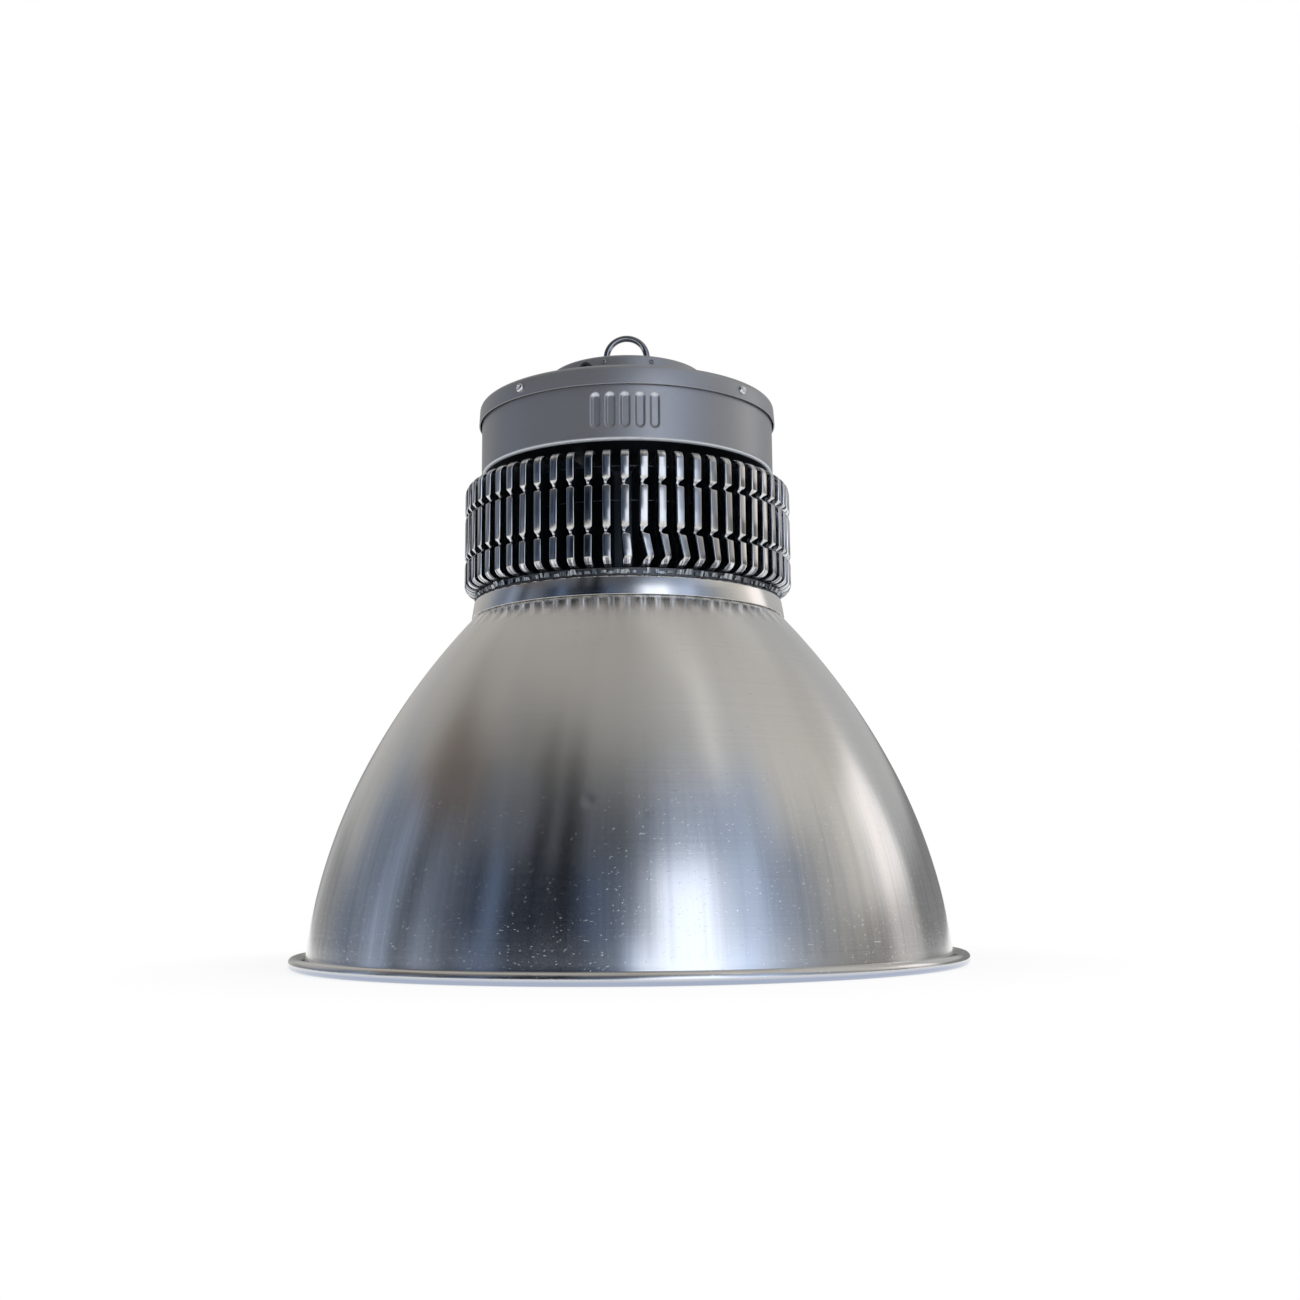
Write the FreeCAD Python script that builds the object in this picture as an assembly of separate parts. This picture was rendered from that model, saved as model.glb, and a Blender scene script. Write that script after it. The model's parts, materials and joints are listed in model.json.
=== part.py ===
"""LED high bay light: ring-hung driver housing, finned heat sink and a spun reflector.

The lamp stands on the bead of its reflector. The origin is the centre of the
circle that it stands on, +Z points up to the suspension eye and -Y is the
front. Lengths are millimetres and angles are degrees, counted from the front
towards +X.
"""
import FreeCAD, Part
import math
import os

from FreeCAD import Vector

# ---- reflector: spun aluminium dome with a rolled bead -----------------------
reflector_sheet = 1.2
reflector_height = 247.9        # standing circle to the seat under the collar
rim_radius = 240.0              # outside of the bead
bead_diameter = 8.5
bead_crease = 3.6               # gap between the wall and the bead
wall_foot_height = 9.0          # where the curved wall turns straight
neck_radius = 113.9             # where the flange turns into the wall
neck_opening_radius = 95.0
neck_slope = 47.5               # fall of the wall just under the neck
foot_lean = 6.3                 # lean of the wall just over the bead

# ---- collar, lens and light source -------------------------------------------
collar_height = 13.6
collar_foot_radius = 115.6
collar_head_radius = 113.4
collar_corner = 2.2
collar_bore_radius = 99.0
collar_ledge_radius = 92.0
collar_ledge = 3.0
lens_thickness = 4.0
lens_side_gap = 0.4
seal_thickness = 0.8
seat_gap = 0.1                  # between flat faces that are only drawn together
board_side = 60.0
board_thickness = 2.0
emitter_radius = 20.0
emitter_thickness = 0.8
board_screw_inset = 5.0

# ---- carrier plate and heat sink ---------------------------------------------
plate_thickness = 5.0
plate_radius = 111.4
core_radius = 62.0
core_bore_radius = 7.0
fin_count = 60
fin_sheet = 0.8
fin_flange = 5.7                # width of the turned outer edge of a fin
fin_radius = 120.9
fin_height = 80.2
fin_lift = 0.4                  # fins stop this far above the carrier plate
fin_head_reach = 13.0           # how far the flange is turned in over the head
fin_head_corner = 6.6
fin_foot_corner = 6.0
fin_foot_inset = 9.0            # how far the foot of the flange pulls in
notch_spacing = 33.4
notch_depth = 2.9
notch_half_height = 3.0
bent_fins = 6                   # fins knocked sideways, counted from the front
bent_fin_lean = 3.4

# ---- driver housing ----------------------------------------------------------
housing_gap = 8.7               # height of the recess over the fins
housing_radius = 109.1
housing_height = 49.0
housing_sheet = 1.0
housing_corner = 2.5
groove_count = 5
groove_pitch = 10.3
groove_width = 7.5              # at the mouth
groove_height = 26.3
groove_top_drop = 14.4          # from the rim of the housing to the pressed grooves
groove_depth = 2.0
groove_left_slope = 2.2         # run of the gentle side
groove_right_slope = 1.1        # run of the steep side
groove_end_slope = 2.6
groove_side_wall = 0.6          # metal left beside the groove, inside
wire_hole_radius = 8.0
standoff_circle_radius = 48.0
standoff_radius = 6.0
standoff_count = 4

# ---- top cover ---------------------------------------------------------------
cover_sheet = 0.9
cover_skirt = 14.5
cover_lip_gap = 1.3             # between the housing and the inside of the lip
cover_head_gap = 0.4            # the same where the skirt meets the shoulder
cover_corner = 3.6
cover_head_room = 3.8           # inside of the cover over the housing's rim
boss_foot_radius = 60.5
boss_head_radius = 58.6
boss_height = 24.9
boss_corner = 2.4

# ---- suspension eye ----------------------------------------------------------
eye_outer_diameter = 35.3
eye_wire = 4.8
eye_shank_radius = 4.0
eye_shank_length = 17.0
eye_flange_radius = 8.0
eye_flange_height = 1.4
eye_sink = 1.3                  # ring sunk into the flange
eye_nut_across = 13.0
eye_nut_height = 6.5
eye_washer_radius = 9.5
eye_washer_thickness = 1.6
eye_plate_thickness = 2.0
eye_plate_rim = 14.0

# ---- cable entry -------------------------------------------------------------
grommet_angle = -29.0
grommet_drop = 8.8              # below the top of the boss
grommet_radius = 4.9
grommet_groove_radius = 3.9
grommet_lip = 1.4
cable_radius = 3.0
cable_gap = 0.15

# ---- driver, terminal block and leads ----------------------------------------
driver_length = 128.0
driver_width = 58.0
driver_height = 34.0
driver_wall_gap = 5.2           # from the corners of the end caps to the housing
driver_corner = 2.0
driver_lift = 3.6               # the end caps hold the case over the housing screws
driver_foot_length = 9.0
driver_foot_thickness = 1.5
end_cap_thickness = 2.0
terminal_size = (34.0, 17.0, 15.0)
terminal_centre = (-26.0, -62.0)
terminal_way_radius = 2.4
terminal_ways = 3
lead_radius = 2.2
lead_bend = 15.0
bush_lip_radius = 10.0
bush_lip = 1.2

# ---- fasteners ---------------------------------------------------------------
thread_gap = 0.1                # radial, between a screw and what it passes
cover_screw_radius = 1.9
cover_screw_head_radius = 3.25
cover_screw_head = 2.0
cover_screw_length = 7.0
cover_screw_angle = 48.2
cover_screw_lift = 6.6          # above the lip of the cover
cover_screw_count = 4
cover_nut_across = 7.0
cover_nut_height = 3.2
rivet_radius = 1.3
rivet_head_radius = 1.9
rivet_head = 0.8
rivet_drop = 4.9
rivet_angles = (-15.5, 18.5, 164.5, 198.5)
small_screw_radius = 1.5
small_screw_head_radius = 2.75
small_screw_head = 1.8
housing_screw_radius = 2.5
housing_screw_head_radius = 4.5
housing_screw_head = 3.0
housing_screw_length = 24.0
plate_screw_circle_radius = 53.0
plate_screw_count = 6
plate_screw_length = 16.0
reflector_screw_circle_radius = 104.5
reflector_screw_count = 6
slot_width = 0.9
slot_depth = 0.7

# ---- levels, worked out from the sizes above ---------------------------------
collar_z = reflector_height
plate_z = collar_z + collar_height + seat_gap
fin_z = plate_z + plate_thickness + fin_lift
core_z = plate_z + plate_thickness
core_height = fin_lift + fin_height
housing_z = core_z + core_height + housing_gap
housing_top_z = housing_z + housing_height
cover_top_z = housing_top_z + cover_head_room + cover_sheet
cover_lip_z = cover_top_z - cover_skirt
boss_top_z = cover_top_z + boss_height
housing_floor_z = housing_z + housing_sheet
ledge_z = collar_z + collar_ledge
lens_z = ledge_z + seal_thickness
lens_radius = collar_bore_radius - lens_side_gap
board_z = plate_z - board_thickness
emitter_z = board_z - emitter_thickness
grommet_z = boss_top_z - grommet_drop
grommet_bore_radius = cable_radius + cable_gap
floor_seat_z = housing_floor_z + seat_gap
driver_z = floor_seat_z + driver_lift
eye_plate_z = boss_top_z - cover_sheet - eye_plate_thickness
eye_centre_z = boss_top_z + eye_flange_height - eye_sink + eye_outer_diameter / 2
cover_lip_radius = housing_radius + cover_lip_gap + cover_sheet
cover_head_radius = housing_radius + cover_head_gap + cover_sheet
driver_far_y = math.sqrt((housing_radius - housing_sheet - driver_wall_gap) ** 2
                         - (driver_length / 2 + end_cap_thickness) ** 2)
driver_centre_y = driver_far_y - driver_width / 2


def place(radius, angle, z):
    """Point at a radius and an angle from the front."""
    turn = math.radians(angle)
    return Vector(radius * math.sin(turn), -radius * math.cos(turn), z)


def turned(shape, angle):
    """Copy of a shape that was built along +X, turned to an angle from the front."""
    copy = shape.copy()
    copy.rotate(Vector(0, 0, 0), Vector(0, 0, 1), angle - 90)
    return copy


def spread(shape, count, first=0.0):
    """Copies of a shape built along +X, evenly round the axis."""
    return [turned(shape, first + 360.0 * i / count) for i in range(count)]


def bored(shape, tools):
    """Shape with each tool cut out of it."""
    return shape.cut(Part.makeCompound(tools))


def rod(radius, height, x, y, z):
    return Part.makeCylinder(radius, height, Vector(x, y, z))


def radial_rod(radius, start, length, z):
    """Cylinder along +X from a start radius."""
    return Part.makeCylinder(radius, length, Vector(start, 0, z), Vector(1, 0, 0))


def rounded_wire(corners):
    """Closed wire in the XZ plane through (r, z, corner radius) points."""
    count = len(corners)
    edges = []
    last_out = None
    first_in = None
    for i in range(count):
        x, z, radius = corners[i]
        here = Vector(x, 0, z)
        before = Vector(corners[i - 1][0], 0, corners[i - 1][1])
        after = Vector(corners[(i + 1) % count][0], 0, corners[(i + 1) % count][1])
        entry, leave = here, here
        if radius > 0:
            back = (before - here).normalize()
            ahead = (after - here).normalize()
            half = back.getAngle(ahead) / 2
            reach = radius / math.tan(half)
            middle = (back + ahead).normalize()
            entry = here + back * reach
            leave = here + ahead * reach
            crown = here + middle * (radius / math.sin(half) - radius)
        if last_out is None:
            first_in = entry
        elif (entry - last_out).Length > 1e-6:
            edges.append(Part.makeLine(last_out, entry))
        if radius > 0:
            edges.append(Part.Arc(entry, crown, leave).toShape())
        last_out = leave
    edges.append(Part.makeLine(last_out, first_in))
    return Part.Wire(edges)


def revolved(wire):
    return Part.Face(wire).revolve(Vector(0, 0, 0), Vector(0, 0, 1), 360)


def ring(inner, outer, z, height):
    """Plain ring, or a disc where the inner radius is 0."""
    body = rod(outer, height, 0, 0, z)
    if inner > 0:
        body = body.cut(rod(inner, height, 0, 0, z))
    return body


def hexagon(across, height, z):
    """Hexagonal prism on the axis."""
    corner = across / math.sqrt(3)
    points = [place(corner, 60 * i, z) for i in range(6)]
    return Part.Face(Part.makePolygon(points + points[:1])).extrude(Vector(0, 0, height))


def screw(radius, length, head_radius, head_height):
    """Pan-head screw with a driver slot: shank down from z = 0, head above it."""
    shank = rod(radius, length, 0, 0, -length)
    head = rod(head_radius, head_height, 0, 0, 0)
    top_edge = [e for e in head.Edges if e.BoundBox.ZMin > head_height - 1e-6]
    head = head.makeChamfer(head_height * 0.45, top_edge)
    slot = Part.makeBox(
        3 * head_radius, slot_width, slot_depth,
        Vector(-1.5 * head_radius, -slot_width / 2, head_height - slot_depth))
    return shank.fuse(head).cut(slot)


def stood(shape, x, y, z, flipped=False):
    """Copy of a screw set down at a point, head up or head down."""
    copy = shape.copy()
    if flipped:
        copy.rotate(Vector(0, 0, 0), Vector(1, 0, 0), 180)
    copy.translate(Vector(x, y, z))
    return copy


def radial(shape, start, angle, z):
    """Copy of a screw, head outwards, seated at a radius and an angle."""
    copy = shape.copy()
    copy.rotate(Vector(0, 0, 0), Vector(0, 1, 0), 90)
    copy.translate(Vector(start, 0, z))
    return turned(copy, angle)


def chord_seat(radius, half_width):
    """Radius at which a flat piece of a half width meets the inside of a round wall."""
    return math.sqrt(radius ** 2 - half_width ** 2)


# ---- reflector ---------------------------------------------------------------
def reflector_screw_spots():
    first = 180.0 / reflector_screw_count
    return [place(reflector_screw_circle_radius, first + 360.0 * i / reflector_screw_count, 0)
            for i in range(reflector_screw_count)]


def direction(angle):
    """Unit vector in the XZ plane, from an angle over +X."""
    turn = math.radians(angle)
    return Vector(math.cos(turn), 0, math.sin(turn))


def square_to(angle):
    """Angle of the outward direction from a line that runs down at an angle."""
    return angle + math.degrees(math.pi / 2)


def dome_arcs():
    """The two tangent arcs of the dome's outside, each as (centre, radius, angle, angle)."""
    head = Vector(neck_radius, 0, reflector_height)
    foot = Vector(rim_radius - bead_diameter - bead_crease, 0, wall_foot_height)
    head_angle, foot_angle = square_to(-neck_slope), foot_lean
    head_way, foot_way = direction(-neck_slope), direction(foot_lean - square_to(0))
    across = foot - head
    both = head_way + foot_way
    square = 4 - both.dot(both)
    along = across.dot(both)
    reach = (math.sqrt(along ** 2 + square * across.dot(across)) - along) / square
    first, last = head + head_way * reach, foot - foot_way * reach
    join_way = last - first
    join_angle = square_to(math.degrees(math.atan2(join_way.z, join_way.x)))
    arcs = []
    for start, low, high in ((head, head_angle, join_angle), (foot, foot_angle, join_angle)):
        radius = reach / math.tan(math.radians(abs(high - low) / 2))
        arcs.append((start - direction(low) * radius, radius, low, high))
    return arcs


def dome_edges(inset):
    """Edges of the meridian set in from the outside, with its head and foot points."""
    edges, ends = [], []
    for centre, radius, low, high in dome_arcs():
        points = [centre + direction(a) * (radius - inset)
                  for a in (low, (low + high) / 2, high)]
        edges.append(Part.Arc(*points).toShape())
        ends.append(points[0])
    return edges, ends[0], ends[1]


def reflector():
    """Spun dome: neck flange, curved wall, and a wired bead rolled out of its foot."""
    sheet = reflector_sheet
    outer, outer_head, outer_foot = dome_edges(0)
    inner, inner_head, inner_foot = dome_edges(sheet)
    bead_radius = bead_diameter / 2
    bead_centre = Vector(rim_radius - bead_radius, 0, bead_radius)
    gutter = bead_crease + 0.4
    wall_foot = Vector(outer_foot.x + 0.2, 0, sheet + gutter)
    gutter_mid = Vector(wall_foot.x + gutter * (1 - math.sqrt(0.5)), 0,
                        sheet + gutter * (1 - math.sqrt(0.5)))
    gutter_end = Vector(wall_foot.x + gutter, 0, sheet)
    meet_turn = math.asin((bead_radius - sheet) / bead_radius)
    bead_start = bead_centre + Vector(-bead_radius * math.cos(meet_turn), 0,
                                      -bead_radius * math.sin(meet_turn))
    bead_low = bead_centre - Vector(0, 0, bead_radius)
    bead_far = bead_centre + Vector(bead_radius * math.sqrt(0.5), 0,
                                    bead_radius * math.sqrt(0.5))
    heel = sheet + 1.0
    heel_start = Vector(inner_foot.x + 0.2 + heel, 0, 0)
    heel_mid = Vector(inner_foot.x + 0.2 + heel * (1 - math.sqrt(0.5)), 0,
                      heel * (1 - math.sqrt(0.5)))
    heel_end = Vector(inner_foot.x + 0.2, 0, heel)
    flange_top = reflector_height
    flange_foot = flange_top - sheet
    fold = inner_head.x - (inner_head.z - flange_foot) / math.tan(math.radians(neck_slope))
    edges = outer + inner + [
        Part.makeLine(Vector(neck_opening_radius, 0, flange_top), outer_head),
        Part.makeLine(outer_foot, wall_foot),
        Part.Arc(wall_foot, gutter_mid, gutter_end).toShape(),
    ]
    if (bead_start - gutter_end).Length > 1e-4:
        edges.append(Part.makeLine(gutter_end, bead_start))
    edges += [
        Part.Arc(bead_start, bead_far, bead_low).toShape(),
        Part.makeLine(bead_low, heel_start),
        Part.Arc(heel_start, heel_mid, heel_end).toShape(),
        Part.makeLine(heel_end, inner_foot),
        Part.makeLine(inner_head, Vector(fold, 0, flange_foot)),
        Part.makeLine(Vector(fold, 0, flange_foot), Vector(neck_opening_radius, 0, flange_foot)),
        Part.makeLine(Vector(neck_opening_radius, 0, flange_foot),
                      Vector(neck_opening_radius, 0, flange_top)),
    ]
    shell = revolved(Part.Wire(Part.__sortEdges__(edges)))
    holes = [rod(housing_screw_radius + thread_gap, 3 * sheet, p.x, p.y, flange_top - 2 * sheet)
             for p in reflector_screw_spots()]
    return bored(shell, holes)


# ---- collar, lens and light source -------------------------------------------
def collar():
    """Turned ring that clamps the lens and carries the reflector."""
    top = collar_z + collar_height
    body = revolved(rounded_wire([
        (collar_ledge_radius, collar_z, 0), (collar_foot_radius, collar_z, 0),
        (collar_head_radius, top, collar_corner), (collar_bore_radius, top, 0),
        (collar_bore_radius, ledge_z, 0), (collar_ledge_radius, ledge_z, 0)]))
    holes = [rod(housing_screw_radius + thread_gap, 2 * collar_height, p.x, p.y, collar_z - 1)
             for p in reflector_screw_spots()]
    return bored(body, holes)


def lens_seal():
    return ring(collar_ledge_radius + 0.5, lens_radius, ledge_z, seal_thickness)


def lens_glass():
    return ring(0, lens_radius, lens_z, lens_thickness)


def lens_gasket():
    """Square silicone ring pressed between the lens and the carrier plate."""
    foot = lens_z + lens_thickness
    return ring(lens_radius - 5.0, lens_radius, foot, plate_z - foot)


def board_screw_spots():
    reach = board_side / 2 - board_screw_inset
    return [(sx * reach, sy * reach) for sx in (-1, 1) for sy in (-1, 1)]


def led_board():
    """Metal-core board of the light source, with its lead hole."""
    half = board_side / 2
    body = Part.makeBox(board_side, board_side, board_thickness, Vector(-half, -half, board_z))
    holes = [rod(small_screw_radius + thread_gap, board_thickness, x, y, board_z)
             for x, y in board_screw_spots()]
    holes.append(rod(lead_radius + thread_gap, board_thickness, 0, 0, board_z))
    return bored(body, holes)


def led_emitter():
    """Phosphor disc over the end of the lead."""
    return ring(0, emitter_radius, emitter_z, emitter_thickness)


def led_board_screws():
    one = screw(small_screw_radius, board_thickness + 4.0, small_screw_head_radius,
                small_screw_head)
    return Part.makeCompound([stood(one, x, y, board_z, flipped=True)
                              for x, y in board_screw_spots()])


# ---- carrier plate and heat sink ---------------------------------------------
def plate_screw_spots():
    return [place(plate_screw_circle_radius, 360.0 * i / plate_screw_count, 0)
            for i in range(plate_screw_count)]


def carrier_plate():
    """Disc that carries the light source below and the heat sink above."""
    body = ring(core_bore_radius, plate_radius, plate_z, plate_thickness)
    holes = [rod(housing_screw_radius + thread_gap, plate_thickness, p.x, p.y, plate_z)
             for p in plate_screw_spots() + reflector_screw_spots()]
    holes += [rod(small_screw_radius + thread_gap, plate_thickness, x, y, plate_z)
              for x, y in board_screw_spots()]
    return bored(body, holes)


def plate_screws():
    one = screw(housing_screw_radius, plate_screw_length, housing_screw_head_radius,
                housing_screw_head)
    return Part.makeCompound([stood(one, p.x, p.y, plate_z, flipped=True)
                              for p in plate_screw_spots()])


def reflector_screws():
    """Long screws through the reflector and the collar into the carrier plate."""
    grip = reflector_sheet + collar_height + seat_gap + plate_thickness - 0.5
    one = screw(housing_screw_radius, grip, housing_screw_head_radius, housing_screw_head)
    return Part.makeCompound([stood(one, p.x, p.y, reflector_height - reflector_sheet,
                                    flipped=True) for p in reflector_screw_spots()])


def fin_edge():
    """Outer edge of a fin from foot to head, as (radius, z): foot, two notches, head."""
    foot, head = fin_z, fin_z + fin_height
    middle = (foot + head) / 2
    points = [(fin_radius - fin_foot_inset - 4.0, foot), (fin_radius - fin_foot_inset, foot)]
    points.append((fin_radius - fin_foot_inset * 0.35, foot + fin_foot_corner * 0.36))
    points.append((fin_radius, foot + fin_foot_corner))
    for notch in (middle - notch_spacing / 2, middle + notch_spacing / 2):
        points.append((fin_radius, notch - notch_half_height))
        points.append((fin_radius - notch_depth, notch))
        points.append((fin_radius, notch + notch_half_height))
    points.append((fin_radius, head - fin_head_corner))
    points.append((fin_radius - fin_head_corner * 0.3, head - fin_head_corner * 0.3))
    points.append((fin_radius - fin_head_corner, head))
    points.append((fin_radius - fin_head_reach, head))
    return points


def inner_line(points, thickness):
    """The same run of points, set in by a sheet's thickness, mitred at each point."""
    result = []
    for i, (x, z) in enumerate(points):
        before = points[max(i - 1, 0)]
        after = points[min(i + 1, len(points) - 1)]
        normals = []
        for a, b in ((before, (x, z)), ((x, z), after)):
            length = math.hypot(b[0] - a[0], b[1] - a[1])
            if length > 0:
                normals.append(((b[1] - a[1]) / length, -(b[0] - a[0]) / length))
        first, last = normals[0], normals[-1]
        share = 1 + first[0] * last[0] + first[1] * last[1]
        result.append((x - thickness * (first[0] + last[0]) / share,
                       z - thickness * (first[1] + last[1]) / share))
    return result


def prism(points, width, start):
    """Face through (radius, z) points at Y = start, made width thick along +Y."""
    corners = [Vector(x, start, z) for x, z in points]
    return Part.Face(Part.makePolygon(corners + corners[:1])).extrude(Vector(0, width, 0))


def fin():
    """Stamped fin along +X: a web that runs into the core, and its turned flange."""
    edge = fin_edge()
    start = -fin_flange / 2
    root = core_radius - 1.0
    web = prism([(root, fin_z)] + edge + [(root, fin_z + fin_height)], fin_sheet, start)
    flange = prism(edge + inner_line(edge, fin_sheet)[::-1], fin_flange, start)
    return web.fuse(flange).removeSplitter()


def bent_fin():
    """The same fin with the flange below its lower notch knocked sideways."""
    whole = fin()
    notch = fin_z + (fin_height - notch_spacing) / 2
    knee = fin_z + fin_foot_corner + 2.0
    half = fin_flange / 2
    low = notch - notch_half_height
    deep = fin_radius - 2.5 * fin_sheet
    knocked_off = Part.makeBox(2 * fin_head_reach, fin_flange, low - fin_z + 1,
                               Vector(fin_radius - fin_head_reach - 2, -half + fin_sheet,
                                      fin_z - 1))
    lean = bent_fin_lean
    strip = [Vector(deep, -half, low), Vector(deep, half, low),
             Vector(deep, half + lean, knee), Vector(deep, half + lean * 0.6, fin_z + 1),
             Vector(deep, -half + lean * 0.6, fin_z + 1), Vector(deep, -half + lean, knee)]
    plate = Part.Face(Part.makePolygon(strip + strip[:1])).extrude(Vector(fin_sheet, 0, 0))
    link = Part.makeBox(2.5 * fin_sheet, fin_flange, fin_sheet, Vector(deep, -half, low))
    return whole.cut(knocked_off).fuse([plate, link]).removeSplitter()


def heat_sink():
    """Round core with the ring of fins pressed into it."""
    core = ring(core_bore_radius, core_radius, core_z, core_height)
    plate_depth = plate_screw_length - plate_thickness + 1.0
    housing_depth = housing_screw_length - housing_gap - housing_sheet + 1.0
    holes = [rod(housing_screw_radius + thread_gap, plate_depth, p.x, p.y, core_z)
             for p in plate_screw_spots()]
    holes += [rod(housing_screw_radius + thread_gap, housing_depth, p.x, p.y,
                  core_z + core_height - housing_depth) for p in standoff_spots()]
    holes += [rod(small_screw_radius + thread_gap, 3.0, x, y, core_z)
              for x, y in board_screw_spots()]
    core = bored(core, holes)
    plain, bent = fin(), bent_fin()
    fins = []
    for i in range(fin_count):
        shape = bent if i < bent_fins else plain
        fins.append(turned(shape, 360.0 * i / fin_count))
    return core.multiFuse(fins)


# ---- driver housing ----------------------------------------------------------
def standoff_spots():
    first = 180.0 / standoff_count
    return [place(standoff_circle_radius, first + 360.0 * i / standoff_count, 0)
            for i in range(standoff_count)]


def housing_standoffs():
    """Spacers that hold the housing clear of the fins."""
    posts = []
    for p in standoff_spots():
        post = rod(standoff_radius, housing_gap, p.x, p.y, housing_z - housing_gap)
        bore = rod(housing_screw_radius + thread_gap, housing_gap, p.x, p.y,
                   housing_z - housing_gap)
        posts.append(post.cut(bore))
    return Part.makeCompound(posts)


def housing_screws():
    one = screw(housing_screw_radius, housing_screw_length, housing_screw_head_radius,
                housing_screw_head)
    return Part.makeCompound([stood(one, p.x, p.y, housing_floor_z)
                              for p in standoff_spots()])


def stadium(radius, left, right, height, z):
    """Upright stadium outline in the plane X = radius, from its left to its right side."""
    middle = (left + right) / 2
    run = (height - right + left) / 2
    top, foot = z + run, z - run
    return Part.Wire([
        Part.makeLine(Vector(radius, right, foot), Vector(radius, right, top)),
        Part.Arc(Vector(radius, right, top), Vector(radius, middle, z + height / 2),
                 Vector(radius, left, top)).toShape(),
        Part.makeLine(Vector(radius, left, top), Vector(radius, left, foot)),
        Part.Arc(Vector(radius, left, foot), Vector(radius, middle, z - height / 2),
                 Vector(radius, right, foot)).toShape()])


def pressed_groove(mouth, floor, margin):
    """Solid of one upright groove between two radii, made wider by a margin all round."""
    z = housing_top_z - groove_top_drop - groove_height / 2
    half = groove_width / 2
    return Part.makeLoft([
        stadium(mouth, -half - margin, half + margin, groove_height + 2 * margin, z),
        stadium(floor, -half + groove_left_slope - margin, half - groove_right_slope + margin,
                groove_height - 2 * groove_end_slope + 2 * margin, z)], True, True)


def driver_housing():
    """Drawn cup with a row of upright grooves pressed into its front."""
    sheet = housing_sheet
    cup = revolved(rounded_wire([
        (wire_hole_radius, housing_z, 0), (housing_radius, housing_z, housing_corner),
        (housing_radius, housing_top_z, 0), (housing_radius - sheet, housing_top_z, 0),
        (housing_radius - sheet, housing_floor_z, 0), (wire_hole_radius, housing_floor_z, 0)]))
    pitch = math.degrees(groove_pitch / housing_radius)
    angles = [pitch * (i - (groove_count - 1) / 2) for i in range(groove_count)]
    floor = housing_radius - groove_depth
    bulge = pressed_groove(housing_radius - 0.5 * sheet, floor - sheet, groove_side_wall)
    pocket = pressed_groove(housing_radius + 0.1 * sheet, floor, 0)
    cup = bored(cup.multiFuse([turned(bulge, angle) for angle in angles]),
                [turned(pocket, angle) for angle in angles])
    holes = [rod(housing_screw_radius + thread_gap, sheet, p.x, p.y, housing_z)
             for p in standoff_spots()]
    holes += [rod(small_screw_radius + thread_gap, sheet, x, y, housing_z)
              for x, y in driver_screw_spots() + terminal_screw_spots()]
    bore = radial_rod(cover_screw_radius + thread_gap, housing_radius - 3 * sheet, 6 * sheet,
                      cover_screw_z())
    holes += spread(bore, cover_screw_count, cover_screw_angle)
    return bored(cup, holes)


# ---- top cover ---------------------------------------------------------------
def cover_screw_z():
    return cover_lip_z + cover_screw_lift


def cover_radius_at(z):
    """Outside radius of the tapered skirt at a height."""
    share = (z - cover_lip_z) / cover_skirt
    return cover_lip_radius + (cover_head_radius - cover_lip_radius) * share


def boss_radius_at(z):
    """Outside radius of the tapered boss at a height."""
    share = (z - cover_top_z) / boss_height
    return boss_foot_radius + (boss_head_radius - boss_foot_radius) * share


def top_cover():
    """Drawn lid: skirt over the housing, flat shoulder and a raised boss for the eye."""
    sheet = cover_sheet
    body = revolved(rounded_wire([
        (cover_lip_radius, cover_lip_z, 0), (cover_head_radius, cover_top_z, cover_corner),
        (boss_foot_radius, cover_top_z, 0),
        (boss_head_radius, boss_top_z, boss_corner),
        (eye_shank_radius + thread_gap, boss_top_z, 0),
        (eye_shank_radius + thread_gap, boss_top_z - sheet, 0),
        (boss_head_radius - sheet, boss_top_z - sheet, 0),
        (boss_foot_radius - sheet, cover_top_z - sheet, 0),
        (cover_head_radius - sheet, cover_top_z - sheet, 0),
        (cover_lip_radius - sheet, cover_lip_z, 0)]))
    screw_bore = radial_rod(cover_screw_radius + thread_gap, housing_radius - sheet,
                            6 * sheet, cover_screw_z())
    holes = spread(screw_bore, cover_screw_count, cover_screw_angle)
    rivet_bore = radial_rod(rivet_radius + thread_gap, boss_head_radius - 4 * sheet, 8 * sheet,
                            boss_top_z - rivet_drop)
    holes += [turned(rivet_bore, angle) for angle in rivet_angles]
    holes.append(turned(radial_rod(grommet_groove_radius + thread_gap,
                                   boss_head_radius - 5 * sheet, 8 * sheet, grommet_z),
                        grommet_angle))
    return bored(body, holes)


def cover_screws():
    one = screw(cover_screw_radius, cover_screw_length, cover_screw_head_radius,
                cover_screw_head)
    seat = cover_radius_at(cover_screw_z() - cover_screw_head_radius) + 0.02
    return Part.makeCompound([radial(one, seat, cover_screw_angle + 360.0 * i / cover_screw_count,
                                     cover_screw_z()) for i in range(cover_screw_count)])


def cover_nuts():
    """Hexagonal press nuts inside the housing wall, one for each cover screw."""
    body = hexagon(cover_nut_across, cover_nut_height, 0)
    body = body.cut(rod(cover_screw_radius + thread_gap, cover_nut_height, 0, 0, 0))
    corner = cover_nut_across / math.sqrt(3)
    seat = chord_seat(housing_radius - housing_sheet, corner) - 0.02
    return Part.makeCompound([
        radial(body, seat - cover_nut_height, cover_screw_angle + 360.0 * i / cover_screw_count,
               cover_screw_z()) for i in range(cover_screw_count)])


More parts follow.
